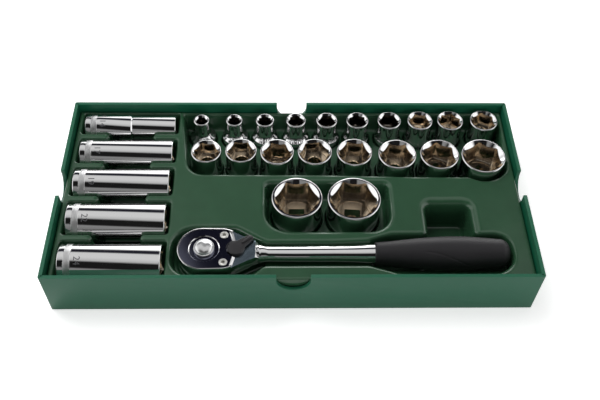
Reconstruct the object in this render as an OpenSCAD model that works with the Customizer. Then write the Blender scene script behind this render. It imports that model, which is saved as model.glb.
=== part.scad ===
// Half-inch drive socket wrench set in an open tray: twenty short sockets standing
// mouth up, five deep sockets lying in troughs, and a quick-release ratchet.
// Millimetres. Origin: centre of the tray's underside. +X right, +Y back, +Z up.

/* [Tray shell] */
// Depth of the tray, front to back
tray_d = 175; // [174:1:200]
// Height of the tray
tray_h = 44; // [43:1:54]
// Thickness of the tray's walls
tray_wall = 2.8; // [2:0.1:3.2]
// Thickness of the tray's floor
tray_floor = 2; // [1.5:0.1:2.5]
// Radius of the tray's upright corners
tray_corner = 1.5; // [0.5:0.5:3]
// Width of the finger notch in each wall
notch_w = 25; // [18:1:34]
// Depth of the finger notches below the rim
notch_depth = 17; // [14:1:22]

/* [Formed insert] */
// Height of the rim above the insert's deck
deck_drop = 8; // [6:0.5:10]
// Thickness of the formed sheet
sheet = 1.2; // [0.8:0.1:1.4]
// Gap between the insert and the tray's walls
insert_gap = 0.8; // [0.5:0.1:1]
// Height of the skirt round the insert
skirt_h = 20; // [14:1:26]
// Depth of the shared recesses round the standing sockets
recess_depth = 8; // [5:0.5:10]
// Gap between a standing socket and the side of its cup
cup_gap = 0.5; // [0.4:0.1:0.7]
// Gap between a lying socket and the side of its trough
trough_gap = 0.6; // [0.4:0.1:0.8]
// Gap between a lying socket's ends and its trough
trough_end = 2.5; // [1.5:0.5:4]
// Gap under each piece where it rests in the insert
seat_gap = 0.2; // [0.1:0.1:0.3]
// Width of the finger channel across the troughs
channel_w = 33; // [24:1:40]
// Distance of the channel's middle from the middle of the troughs, towards the mouths
channel_shift = 1.45; // [0:0.05:4]
// Width of the finger pocket behind the ratchet's grip
finger_w = 35; // [28:1:40]
// Length of the finger pocket behind the grip's trough
finger_l = 30; // [24:1:32]
// Distance from the grip's front end to the middle of the finger pocket
finger_from = 60; // [50:1:75]
// Rim that is left beside the pockets along the insert's edges
pocket_rim = 2.7; // [1:0.1:3]

/* [Square drive] */
// Size of the square drive across its flats
drive_sq = 12.7; // [12.5:0.05:12.9]
// Clearance between the male and the female square, on each side
square_gap = 0.05; // [0.03:0.01:0.1]
// Length of the male square below the head
drive_l = 15; // [13:0.5:15]

/* [Short sockets] */
// Hexagon sizes across flats, in the order in which they stand
short_af = [8, 9, 10, 11, 12, 13, 14, 15, 16, 17, 18, 19, 20, 21, 22, 23, 24, 27, 30, 32];
// Outside diameters at the mouth
short_od = [13, 13.8, 15.2, 16.5, 17.6, 18.6, 19.8, 21.3, 21.8, 23.4,
            24.5, 25.5, 27.4, 27.8, 28.8, 31, 31.6, 35.6, 39.6, 41.4];
// Depths of the hexagons
short_hex = [12, 12, 12, 12, 13, 13, 13, 14, 14, 14, 13.5, 13, 21, 12.6, 17.5, 19, 20, 22, 23, 22.5];
// Angle to which each socket happens to be turned
short_turn = [0, 34, 30, 16, 0, 34, -3, -8, 14, 33, -5, 0, -7, 8, -7, -5, 35, 34, 0, -4];
// Least outside diameter at the drive end
drive_end_od = 22; // [21:0.5:23]
// Length of the sockets up to the large ones
short_l = 38; // [36:0.5:39]
// Length of the large sockets
large_l = 40; // [38:0.5:41]
// Hexagon size from which a socket is a large one
large_from = 27; // [24:1:30]
// Length of the drive end, up to its shoulder
drive_end_l = 20; // [18:0.5:22]
// Length of the tapered shoulder
shoulder_l = 3.5; // [2:0.5:5]

/* [Deep sockets] */
// Hexagon sizes of the lying sockets, from the back to the front
deep_af = [14, 17, 19, 22, 24];
// Outside diameters of the lying sockets
deep_od = [22, 24, 26.5, 30, 32];
// Outside diameter of the smallest one at its mouth
deep_tip_od = 20.4; // [19.5:0.1:21.5]
// Length of the deep sockets
deep_l = 75.5; // [72:0.5:80]
// Depth of the hexagon in a deep socket
deep_hex = 24; // [18:1:30]
// Height of the axis of a lying socket, unless the rim would be lower than its top
deep_axis_z = 30; // [27:0.5:31]

/* [Socket details] */
// Chamfer round both ends of a socket
end_chamfer = 0.6; // [0.3:0.1:0.8]
// Depth of the flare that leads into the hexagon
lead_in = 1.2; // [0.6:0.1:1.6]
// Height by which the knurled band stands proud
band_h = 0.2; // [0.1:0.05:0.3]
// Width of the knurled band
band_w = 6; // [4:0.5:7]
// Distance from the drive end to the knurled band
band_from = 4.5; // [3:0.5:6]
// Distance from the drive end to the groove for the detent ball
detent_at = 8; // [7:0.5:9]

/* [Rows] */
// Gaps between neighbours in the back row
row1_gaps = [5.5, 3.6, 4.2, 4, 3.7, 4.9, 4, 3.6, 5.9];
// Gaps between neighbours in the middle row
row2_gaps = [3.3, 2.9, 3.3, 4, 5, 3.3, 1.6];
// Distance by which each socket of the middle row stands forward of the ridge behind it
row2_slack = [1.1, 0, 0.4, 0, 0, 0.9, 0.9, 2.2];
// Distance from the troughs to the first socket of the back row
row1_from = 8.2; // [7.5:0.1:10]
// Distance from the troughs to the first socket of the middle row
row2_from = 12.7; // [11:0.1:14]
// Distance from the last socket of the middle row to the insert's right edge
row2_end = 6.1; // [5.5:0.1:20]
// Distance from the troughs to the first of the two large sockets
row3_from = 78.5; // [70:0.1:90]
// Gap between the two large sockets
row3_gap = 3.9; // [3:0.1:6]
// Distance from the insert's back edge to the back row
row1_back = 3.2; // [3:0.1:4]
// Width of the ridge between the back row and the middle row
row2_back = 9.9; // [9:0.1:12]
// Distance from the back of the middle row to the back of the two large sockets
row3_back = 43; // [42:0.1:45]

/* [Ratchet] */
// Distance from the troughs to the drive's axis
drive_from = 28.5; // [28:0.1:32]
// Distance from the insert's front edge to the ratchet's centre line
ratchet_front = 26; // [24:0.5:28]
// Thickness of the head
head_t = 20; // [19:0.5:21]
// Radius of the round end of the head
head_r = 18.6; // [18.2:0.1:19]
// Distance from the drive's axis to the end of the head's flat face
head_l = 43.5; // [42:0.5:46]
// Thickness of the cover plate
plate_t = 2.6; // [2:0.1:3]
// Width of the head's edge round the cover plate
plate_edge = 1.3; // [1:0.1:1.8]
// Thickness of the head's floor under the gear
head_floor = 3; // [2.5:0.1:3.5]
// Number of teeth on the drive gear
gear_teeth = 36; // [36:4:72]
// Radius of the drive gear over its teeth
gear_r = 13.4; // [13:0.1:13.5]
// Depth of the gear's teeth
tooth_h = 1.1; // [0.8:0.1:1.2]
// Radius of the gear's hub, above and below the teeth
hub_r = 10.8; // [10.2:0.1:11]
// Radial clearance of every turning fit
run_gap = 0.05; // [0.03:0.01:0.08]
// Radius of the quick-release button
button_r = 7.8; // [7.2:0.1:8]
// Travel of the quick-release button
button_travel = 3; // [2.5:0.1:3]
// Height of the button's dome
dome_h = 3.3; // [2.5:0.1:3.5]
// Radius of the release pin
pin_r = 3; // [2.8:0.1:3]
// Radius of the detent ball
ball_r = 2; // [1.9:0.05:2]
// Height by which the detent ball stands out of the square
ball_out = 0.8; // [0.6:0.05:0.9]
// Distance from the drive's axis to the lever's axis
lever_x = 24; // [23.9:0.05:24.2]
// Radius of the lever's round boss
lever_r = 6.5; // [6:0.1:6.8]
// Radius of the lever's shaft
lever_shaft_r = 3.4; // [3:0.1:3.5]
// Length of the lever's arm
lever_arm = 15.5; // [13:0.5:17]
// Angle of the lever each side of the handle
lever_angle = 40; // [36:1:42]
// Angle by which the pawl rocks each side of its middle
pawl_rock = 4; // [3.5:0.1:4]
// Radius of the heads of the cover screws
screw_head_r = 3.2; // [2.8:0.1:3.2]
// Radius of the threads of the cover screws
screw_r = 1.3; // [1.1:0.1:1.4]
// Height of the handle's axis above the underside of the head
axis_h = 12; // [11:0.5:12]
// Radius of the shank
shank_r = 6.2; // [5.6:0.1:6.3]
// Distance from the drive's axis to the grip
grip_from = 128; // [120:1:132]
// Length of the grip
grip_l = 102; // [100:0.5:105]
// Largest radius of the grip
grip_r = 12.9; // [12.5:0.1:13.4]

/* [Hidden] */
$fn = 64;
over = 1;                       // how far a cut runs past a face
deck_z = tray_h - deck_drop;
recess_z = deck_z - recess_depth;
cup_z = tray_floor + sheet;     // upper face of a cup's floor

n_short = len(short_af);
n_deep = len(deep_af);
first_row2 = 10;
first_row3 = 18;

function total(list, upto, i = 0) = i >= upto ? 0 : list[i] + total(list, upto, i + 1);
function widest(i) = max(short_od[i], drive_end_od);
function length_of(i) = short_af[i] < large_from ? short_l : large_l;
function two_digits(n) = n < 10 ? str("0", n) : str(n);

// Widths of the sockets of a row, and the place of one of them from the row's start
function widths(first, end) = [for (i = [first : end - 1]) widest(i)];
function place(w, gaps, i) = total(w, i) + w[i] / 2 + total(gaps, i);

// The insert holds the troughs and the middle row side by side, and the tray fits round it
trough_x0 = sheet + pocket_rim;
trough_l = deep_l + 2 * trough_end;
row2_w = widths(first_row2, first_row3);
row2_l = total(row2_w, len(row2_w)) + total(row2_gaps, len(row2_gaps));
insert_l = trough_x0 + trough_l + row2_from + row2_l + row2_end;
insert_d = tray_d - 2 * (tray_wall + insert_gap);
tray_l = insert_l + 2 * (tray_wall + insert_gap);
left = -insert_l / 2;
front = -insert_d / 2;
back = insert_d / 2;
deep_x0 = left + trough_x0 + trough_end;
trough_x1 = left + trough_x0 + trough_l;

row1_y = back - row1_back - drive_end_od / 2;
row2_line = row1_y - drive_end_od / 2 - row2_back;
row3_line = row2_line - row3_back;

function short_x(i) =
    i < first_row2 ? trough_x1 + row1_from + place(widths(0, first_row2), row1_gaps, i)
    : i < first_row3 ? trough_x1 + row2_from + place(row2_w, row2_gaps, i - first_row2)
    : trough_x1 + row3_from + widest(first_row3) / 2
        + (i == first_row3 ? 0 : row3_gap + (widest(first_row3) + widest(i)) / 2);
function short_y(i) =
    i < first_row2 ? row1_y
    : i < first_row3 ? row2_line - row2_slack[i - first_row2] - widest(i) / 2
    : row3_line - widest(i) / 2;

// The troughs share the insert's depth, with equal ridges between them
trough_edge = sheet + 0.3;
deep_gap = (insert_d - 2 * (trough_edge + trough_gap) - total(deep_od, n_deep)) / (n_deep - 1);
rim_margin = 0.5;
function deep_y(i) =
    back - trough_edge - trough_gap - total(deep_od, i) - i * deep_gap - deep_od[i] / 2;
function deep_z(i) = min(deep_axis_z, tray_h - rim_margin - deep_od[i] / 2);

// Ratchet: its own origin is the drive's axis at the underside of the head
drive_x = trough_x1 + drive_from;
ratchet_y = front + ratchet_front;
ledge_z = cup_z + drive_l + 0.1;
head_z = ledge_z + seat_gap;
axis_z = head_z + axis_h;
plate_z = head_t - 0.4 - plate_t;
plate_gap = 0.1;
gear_z = head_floor + 0.3;
gear_top = plate_z - 0.3;
hub_top = plate_z + 1.6;
button_z = gear_z + 12.2;       // underside of the button at rest
well_z = gear_z + 5.2;          // floor of the button's well in the gear
button_gap = 0.3;
drive_tip_r = drive_sq / sqrt(2) - 2;   // the square's tip is turned down to this radius
ball_z = -detent_at;
groove_r = pin_r - 0.3 * button_travel;
shaft_low = 1.7;
boss_z = plate_z - 0.2;
boss_t = 4.6;
arm_z = head_t + 0.3;           // underside of the lever's arm
arm_t = boss_z + boss_t - 0.5 - arm_z;
pawl_x = 16.6;
pawl_z = gear_z + 0.2;
pawl_t = 9.6;
pawl_pin_r = 1.2;
plunger_reach = 4.9;
plunger_r = 0.9;
cavity_half = 10.5;
cavity_end = 21.4;
screw_at = [14.6, 12.2];
neck_r = shank_r + 1.2;         // where the shank widens towards the grip
neck_l = 30;
tang_r = 5;
tang_l = 96;
spring_wire = 0.5;
spring_r = 5.6;
spring_rings = 5;
spring_z = well_z + spring_wire + 0.1;
spring_l = button_z - spring_wire - 0.1 - spring_z;
short_names = [for (i = [0 : n_short - 1]) str("socket_", two_digits(short_af[i]), "mm")];
deep_names = [for (i = [0 : n_deep - 1]) str("deep_socket_", deep_af[i], "mm")];

// ---- Outlines ----

// Unit vector from a to b, and the outward normal of an edge of an anticlockwise outline
function unit(a, b) = (b - a) / norm(b - a);
function normal(a, b) = let (u = unit(a, b)) [u[1], -u[0]];

// The outline moved outwards by d
function grown(p, d) = [for (i = [0 : len(p) - 1])
    let (before = p[(i + len(p) - 1) % len(p)], after = p[(i + 1) % len(p)],
         m = normal(before, p[i]), n = normal(p[i], after))
    p[i] + (m + n) * d / (1 + m * n)];

// The outline with each corner rounded to its radius in r; radii grow by d at outer corners
function rounded(p, r, d = 0, steps = 8) = [for (i = [0 : len(p) - 1])
    let (before = p[(i + len(p) - 1) % len(p)], after = p[(i + 1) % len(p)],
         u = unit(before, p[i]), v = unit(p[i], after),
         turn = atan2(u[0] * v[1] - u[1] * v[0], u * v),
         side = turn > 0 ? 1 : -1,
         radius = max(0.3, r[i] + side * d),
         start = p[i] - u * radius * tan(abs(turn) / 2),
         centre = start + side * radius * [-u[1], u[0]],
         from = atan2(start[1] - centre[1], start[0] - centre[0]))
    for (k = [0 : steps])
        centre + radius * [cos(from + turn * k / steps), sin(from + turn * k / steps)]];

module rounded_plate(l, d, r) {
    square([l - 2 * r, d], center = true);
    square([l, d - 2 * r], center = true);
    for (sx = [-1, 1], sy = [-1, 1]) translate([sx * (l / 2 - r), sy * (d / 2 - r)]) circle(r);
}

// ---- Tray shell ----

module notch() {
    translate([0, 0, tray_h - notch_depth + notch_w / 2]) {
        rotate([90, 0, 0]) cylinder(r = notch_w / 2, h = 3 * tray_wall, center = true);
        translate([-notch_w / 2, -1.5 * tray_wall, 0]) cube([notch_w, 3 * tray_wall, notch_depth]);
    }
}

module tray_shell() color("#1f5a48") difference() {
    linear_extrude(tray_h) rounded_plate(tray_l, tray_d, tray_corner);
    translate([0, 0, tray_floor])
        linear_extrude(tray_h) rounded_plate(tray_l - 2 * tray_wall, tray_d - 2 * tray_wall, 0.8);
    for (s = [-1, 1]) {
        translate([0, s * (tray_d - tray_wall) / 2, 0]) notch();
        translate([s * (tray_l - tray_wall) / 2, 0, 0]) rotate([0, 0, 90]) notch();
    }
}

// ---- Formed insert: every pocket is drawn once, and again grown by the sheet ----

// A pocket with upright walls, from its floor to above the deck
module sunk(z, grow) translate([0, 0, z - grow]) linear_extrude(deck_z + over - z + grow) children();

recess_side = 5.2;              // from the first socket to the side of its recess
recess_back = 1.9;              // rim behind the recess
large_left = 6;                 // from the large sockets to the sides of their recess
large_right = 9;
large_front = 7;
large_back = 1.2;

// Shared recess round the back and middle rows: follows the ends of the rows
module rows_recess(grow) {
    x0 = short_x(0) - widest(0) / 2;
    x1 = short_x(first_row2 - 1) + widest(first_row2 - 1) / 2;
    x2 = short_x(first_row2) - widest(first_row2) / 2;
    x3 = short_x(first_row3 - 1) + widest(first_row3 - 1) / 2;
    near = short_y(first_row3 - 1) - widest(first_row3 - 1) / 2;
    mid = short_x(first_row2 + 3);
    far = (short_x(first_row2 + 5) + short_x(first_row2 + 6)) / 2;
    p = [[x0 - recess_side, back - recess_back], [x2 - 1.2, near + 3], [mid, near + 2.2], [far, near - 2],
         [x3 + 0.8, near - 2], [x1 + 2.8, back - recess_back]];
    r = [3, 14, 30, 30, 14, 3];
    sunk(recess_z, grow) polygon(rounded(grown(p, grow), r, grow));
}

// Shared recess round the two large sockets
module large_recess(grow) {
    x0 = short_x(first_row3) - widest(first_row3) / 2 - large_left;
    x1 = short_x(first_row3 + 1) + widest(first_row3 + 1) / 2 + large_right;
    y0 = short_y(first_row3 + 1) - widest(first_row3 + 1) / 2 - large_front;
    y1 = row3_line + large_back;
    p = [[x0, y1], [x0, y0], [x1, y0], [x1, y1]];
    sunk(recess_z, grow) polygon(rounded(grown(p, grow), [5, 19, 17, 5], grow));
}

module cups(grow) for (i = [0 : n_short - 1])
    translate([short_x(i), short_y(i), 0])
        sunk(cup_z, grow) circle(widest(i) / 2 + band_h + cup_gap + grow);

// A trough for something round that lies along X
module trough(x0, x1, y, z, r, grow) {
    translate([x0 - grow, y, z]) rotate([0, 90, 0]) cylinder(r = r + grow, h = x1 - x0 + 2 * grow);
    translate([x0 - grow, y - r - grow, z]) cube([x1 - x0 + 2 * grow, 2 * (r + grow), deck_z + over - z]);
}

module troughs(grow) for (i = [0 : n_deep - 1])
    trough(deep_x0 - trough_end, deep_x0 + deep_l + trough_end, deep_y(i), deep_z(i),
           deep_od[i] / 2 + trough_gap, grow);

channel_x = deep_x0 + deep_l / 2 + channel_shift;
channel_z = cup_z + 2;
channel_end = 3.4;
module channel(grow)
    translate([channel_x - channel_w / 2 - grow, front + channel_end - grow, channel_z - grow])
    cube([channel_w + 2 * grow, insert_d - 2 * channel_end + 2 * grow, deck_z + over - channel_z + grow]);

// Pocket of the ratchet: one outline at the deck, and deeper seats under head, drive and grip
slot_z = axis_z - shank_r - 2.2;
slot_gap = 0.8;                 // between the shank and the side of its slot
grip_end_gap = 2;
grip_x0 = grip_from - grip_end_gap;
grip_x1 = grip_from + grip_l + grip_end_gap;
head_side = 6.9;                // from the head to the side of its pocket
head_front = 2.7;
head_back = 2.2;
slot_front = shank_r + 7;       // front side of the shank's slot
grip_front = grip_r + 7.3;      // front side of the grip's pocket
grip_back = grip_r + 1.4;
seat_side = 2;                  // from the head to the side of its seat
module ratchet_pocket(grow) translate([drive_x, ratchet_y, 0]) {
    p = [[-head_r - head_side, -head_r - head_front], [head_l - 7, -head_r - head_front],
         [head_l + 1.5, -slot_front], [grip_from - 5, -slot_front], [grip_from + 18, -grip_front],
         [grip_x1, -grip_front], [grip_x1, grip_back], [grip_from + 14, grip_back],
         [grip_from - 4, neck_r + slot_gap], [grip_from - neck_l, shank_r + slot_gap],
         [head_l + 2, shank_r + slot_gap], [head_l - 21, head_r + head_back],
         [-head_r - head_side, head_r + head_back]];
    r = [16, 8, 6, 12, 20, 17, 12, 14, 8, 30, 8, 12, 18];
    sunk(slot_z, grow) polygon(rounded(grown(p, grow), r, grow));
    sunk(ledge_z, grow) head_outline(-seat_side - grow);
    sunk(cup_z, grow) circle(drive_sq * 0.5 * sqrt(2) + 2.5 + grow);
    intersection() {
        trough(grip_x0, grip_x1 + over, 0, axis_z, grip_r + trough_gap, grow);
        linear_extrude(deck_z + 2 * over) polygon(rounded(grown(p, grow), r, grow));
    }
}

finger_z = cup_z + 3;
finger_x = drive_x + grip_from + finger_from;
module finger_pocket(grow) {
    y1 = ratchet_y + grip_back + finger_l;
    p = [[finger_x - finger_w / 2, y1], [finger_x - finger_w / 2, ratchet_y - 4],
         [finger_x + finger_w / 2, ratchet_y - 4], [finger_x + finger_w / 2, y1]];
    sunk(finger_z, grow) polygon(rounded(grown(p, grow), [5, 5, 5, 5], grow));
}

module pockets(grow) {
    rows_recess(grow);
    large_recess(grow);
    cups(grow);
    troughs(grow);
    channel(grow);
    ratchet_pocket(grow);
    finger_pocket(grow);
}

module formed_sheet() intersection() {
    translate([0, 0, tray_floor]) linear_extrude(deck_z - tray_floor) rounded_plate(insert_l, insert_d, 1);
    difference() {
        union() {
            pockets(sheet);
            difference() {
                translate([0, 0, deck_z - skirt_h])
                    linear_extrude(skirt_h) rounded_plate(insert_l, insert_d, 1);
                translate([0, 0, deck_z - skirt_h - over]) linear_extrude(skirt_h - sheet + over)
                    square([insert_l - 2 * sheet, insert_d - 2 * sheet], center = true);
            }
        }
        pockets(0);
    }
}

// The sheet is drawn in panels that meet face to face: the troughs each side of the channel, the
// channel, the deck with the skirt, the finger pocket with its piece of the deck, and what hangs
// below the deck under each group of pieces
panel_x = (trough_x1 + short_x(0) - widest(0) / 2 - recess_side) / 2;
panel_z = recess_z + 0.3;
panel_rim = sheet + 0.05;
panel_y = row3_line + large_back + sheet + 0.3;
panel_step = 1.1;
large_x0 = short_x(first_row3) - widest(first_row3) / 2 - large_left - sheet - over;
large_x1 = short_x(first_row3 + 1) + widest(first_row3 + 1) / 2 + large_right + sheet + over;
large_y0 = short_y(first_row3 + 1) - widest(first_row3 + 1) / 2 - large_front - sheet - 0.5;
finger_flange = sheet + 0.5;    // from the side of the finger pocket to the edge of its panel
finger_y0 = ratchet_y + grip_back + 1;
channel_side = channel_w / 2 - 0.5;

module span(x0, x1) translate([x0, front - over]) square([x1 - x0, insert_d + 2 * over]);
module inside_rim() square([insert_l - 2 * panel_rim, insert_d - 2 * panel_rim], center = true);
module under_rows() {
    translate([panel_x, panel_y]) square([-left - panel_x, back - panel_y]);
    translate([large_x1, panel_y - panel_step]) square([-left - large_x1, panel_step + over]);
}
module under_large() polygon([[large_x0, large_y0], [large_x1 - 10, large_y0],
    [large_x1, large_y0 + 12], [large_x1, panel_y], [large_x0, panel_y]]);
module round_finger() translate([finger_x - finger_w / 2 - finger_flange, finger_y0])
    square([finger_w + 2 * finger_flange, ratchet_y + grip_back + finger_l + finger_flange - finger_y0]);
module below_deck() {
    linear_extrude(panel_z) inside_rim();
    linear_extrude(deck_z - skirt_h - over) square([insert_l, insert_d], center = true);
}
module sheet_over() color("#2c5443") intersection() {
    formed_sheet();
    linear_extrude(tray_h) children();
}

module insert_trough_left() sheet_over() span(left - over, channel_x - channel_side);
module insert_channel() sheet_over() span(channel_x - channel_side, channel_x + channel_side);
module insert_trough_right() sheet_over() span(channel_x + channel_side, panel_x);
module insert_deck() difference() {
    sheet_over() difference() {
        span(panel_x, -left + over);
        round_finger();
    }
    below_deck();
}
module insert_finger_pocket() sheet_over() round_finger();
module insert_row_cups() intersection() {
    sheet_over() under_rows();
    below_deck();
}
module insert_large_cups() intersection() {
    sheet_over() under_large();
    below_deck();
}
module insert_ratchet_pocket() intersection() {
    sheet_over() difference() {
        span(panel_x, -left);
        under_rows();
        under_large();
        round_finger();
    }
    below_deck();
}

// ---- Sockets ----

// A socket with its drive end at z = 0 and its mouth up. The waist is where the drive end
// gives way to the mouth's diameter.
module socket(af, mouth_od, drive_od, waist, l, hex_depth) difference() {
    rotate_extrude() {
        polygon([[0, 0], [drive_od / 2 - end_chamfer, 0], [drive_od / 2, end_chamfer],
                 [drive_od / 2, waist], [mouth_od / 2, waist + shoulder_l],
                 [mouth_od / 2, l - end_chamfer], [mouth_od / 2 - end_chamfer, l], [0, l]]);
        translate([0, band_from]) square([drive_od / 2 + band_h, band_w]);
    }
    translate([0, 0, l - hex_depth]) cylinder(r = af / sqrt(3), h = hex_depth + over, $fn = 6);
    translate([0, 0, l - lead_in]) cylinder(r1 = af / 2 - 0.2, r2 = af / sqrt(3) + 0.3, h = lead_in + 0.01);
    // clearance bore between the hexagon and the square
    translate([0, 0, over]) cylinder(r = min(af / 2 - 1.2, drive_sq / 2 - 0.9), h = l - hex_depth);
    if (l > 2 * short_l - 10)
        translate([0, 0, drive_end_l]) cylinder(r = af / 2 - 0.3, h = l - hex_depth - drive_end_l + 0.5);
    sq = drive_sq + 2 * square_gap;
    translate([-sq / 2, -sq / 2, -over]) cube([sq, sq, min(drive_end_l - 3, l - hex_depth + 0.5) + over]);
    translate([0, 0, detent_at - 1.3]) cylinder(r = sq / 2 + 0.9, h = 2.6);
}

module short_socket(i) color("silver")
    translate([short_x(i), short_y(i), cup_z + seat_gap]) rotate([0, 0, short_turn[i]])
        socket(short_af[i], short_od[i], widest(i), drive_end_l, length_of(i), short_hex[i]);

module deep_socket(i) color("silver")
    translate([deep_x0, deep_y(i), deep_z(i)]) rotate([0, 90, 0])
        socket(deep_af[i], i == 0 ? deep_tip_od : deep_od[i], deep_od[i], 0.55 * deep_l, deep_l, deep_hex);

// ---- Ratchet ----

module at_ratchet() translate([drive_x, ratchet_y, head_z]) children();

function head_points() = [[0, -head_r], [17, -head_r + 0.5], [head_l - 14, -11.6], [head_l, -4.6],
                          [head_l, 4.6], [head_l - 14, 11.6], [17, head_r - 0.5], [0, head_r]];
module head_outline(inset) {
    translate([-1.5, 0]) circle(head_r - inset);
    polygon(rounded(grown(head_points(), -inset), [1, 16, 30, 1, 1, 30, 16, 1], -inset));
}

// The cover plate lies over the gear and stops round the lever's boss
// The plate ends in two edges that slant back from the lever to the sides of the head
plate_slant = 15;
plate_end = lever_x + 0.4;
nose_drop = 1.6;                // how much lower the head lies beyond the plate
module plate_outline(gap) difference() {
    head_outline(plate_edge - gap);
    translate([lever_x, 0]) circle(lever_r + 0.9 - gap);
    for (s = [-1, 1]) rotate([0, 0, s * plate_slant]) translate([plate_end + gap, -2 * head_r])
        square([head_l, 4 * head_r]);
}

module shank() translate([0, 0, axis_h]) rotate([0, 90, 0]) rotate_extrude()
    polygon([[0, head_l - 14], [shank_r - 0.6, head_l - 14], [shank_r - 0.4, head_l + 4],
             [shank_r, grip_from - 2 * neck_l], [shank_r, grip_from - neck_l],
             [neck_r, grip_from - 0.5], [tang_r, grip_from - 0.5],
             [tang_r, grip_from + tang_l - 1], [tang_r - 1, grip_from + tang_l], [0, grip_from + tang_l]]);

module ratchet_body() color("silver") at_ratchet() difference() {
    union() {
        linear_extrude(head_t) head_outline(0);
        shank();
    }
    translate([0, 0, plate_z]) linear_extrude(head_t) plate_outline(plate_gap);
    for (s = [-1, 1]) rotate([0, 0, s * plate_slant])
        translate([plate_end - 0.3, -2 * head_r, head_t - nose_drop])
            cube([head_l - plate_end + 4, 4 * head_r, 2 * nose_drop]);
    translate([0, 0, head_floor]) cylinder(r = gear_r + 0.4, h = head_t);
    translate([0, 0, -over]) cylinder(r = hub_r + run_gap, h = head_floor + 2 * over);
    translate([8, -cavity_half, head_floor])
        cube([cavity_end - 8, 2 * cavity_half, plate_z - head_floor + 0.01]);
    translate([lever_x, 0, head_floor]) cylinder(r = plunger_reach + 0.5, h = plate_z - head_floor);
    translate([lever_x, 0, shaft_low - 0.2]) cylinder(r = lever_shaft_r + run_gap, h = head_floor);
    translate([lever_x, 0, boss_z]) cylinder(r = lever_r + 0.2, h = head_t);
    translate([pawl_x, 0, over]) cylinder(r = pawl_pin_r + run_gap, h = head_floor);
    for (s = [-1, 1]) translate([screw_at[0], s * screw_at[1], 6])
        cylinder(r = screw_r + run_gap, h = head_t);
}

module cover_plate() color("#3a3d4c") at_ratchet() difference() {
    translate([0, 0, plate_z]) linear_extrude(plate_t) plate_outline(0);
    translate([0, 0, plate_z - over]) cylinder(r = hub_r + 0.25, h = plate_t + 2 * over);
    for (s = [-1, 1]) translate([screw_at[0], s * screw_at[1], plate_z - over]) {
        cylinder(r = screw_r + run_gap, h = plate_t + 2 * over);
        translate([0, 0, over + 1]) cylinder(r = screw_head_r + run_gap, h = plate_t);
    }
}

// Two flat-headed screws with hexagon recesses
module cover_screws() color("gainsboro") at_ratchet()
    for (s = [-1, 1]) translate([screw_at[0], s * screw_at[1], 0]) difference() {
        union() {
            translate([0, 0, plate_z + 1]) cylinder(r = screw_head_r, h = plate_t - 0.8);
            translate([0, 0, 6.5]) cylinder(r = screw_r, h = plate_z - 5);
        }
        translate([0, 0, plate_z + 1.4]) cylinder(r = 1.45, h = plate_t, $fn = 6);
    }

module reversing_lever() color("#202124") at_ratchet() translate([lever_x, 0, 0]) difference() {
    union() {
        translate([0, 0, shaft_low]) cylinder(r = lever_shaft_r, h = boss_z - shaft_low + over);
        translate([0, 0, boss_z + 0.1]) cylinder(r = lever_r, h = boss_t);
        rotate([0, 0, lever_angle]) translate([0, 0, arm_z]) linear_extrude(arm_t) {
            translate([lever_arm - 3, 0]) circle(3);
            polygon([[0, -5], [lever_arm - 3, -2.8], [lever_arm - 3, 2.8], [0, 5]]);
        }
    }
    // bore for the sprung plunger, pointing away from the arm
    rotate([0, 0, lever_angle]) translate([0.6, 0, pawl_z + pawl_t / 2]) rotate([0, -90, 0])
        cylinder(r = plunger_r + run_gap, h = 8);
}

module lever_plunger() color("silver") at_ratchet() translate([lever_x, 0, pawl_z + pawl_t / 2])
    rotate([0, 0, lever_angle]) rotate([0, -90, 0]) {
        cylinder(r = plunger_r, h = plunger_reach - plunger_r);
        translate([0, 0, plunger_reach - plunger_r]) sphere(plunger_r);
    }

function polar(r, a) = r * [cos(a), sin(a)];

// Two-ended pawl, drawn in its middle position and then rocked to the engaged side
pawl_in = gear_r + 0.7;
tooth_pitch = 360 / gear_teeth;
pawl_tooth_a = (floor(24 / tooth_pitch) + 0.5) * tooth_pitch;
function pawl_tooth(a) = [polar(pawl_in, a + 2), polar(gear_r + 0.15, a), polar(pawl_in, a - 2)];
module pawl() color("silver") at_ratchet() translate([pawl_x, 0, pawl_z]) rotate([0, 0, -pawl_rock])
    translate([-pawl_x, 0, 0]) difference() {
        linear_extrude(pawl_t) polygon(concat(
            [polar(pawl_in, 30)], pawl_tooth(pawl_tooth_a), [for (a = [15 : -5 : -15]) polar(pawl_in, a)],
            pawl_tooth(-pawl_tooth_a), [polar(pawl_in, -30)],
            [polar(pawl_in + 2.6, -32), [19.4, -5]],
            [for (a = [-45 : 9 : 45]) [lever_x, 0] - polar(plunger_reach + 0.3, -a)],
            [[19.4, 5], polar(pawl_in + 2.6, 32)]));
        translate([pawl_x, 0, -over]) cylinder(r = pawl_pin_r + run_gap, h = pawl_t + 2 * over);
    }

module pawl_pin() color("silver") at_ratchet()
    translate([pawl_x, 0, over]) cylinder(r = pawl_pin_r, h = plate_z - over - 0.1);

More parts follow.
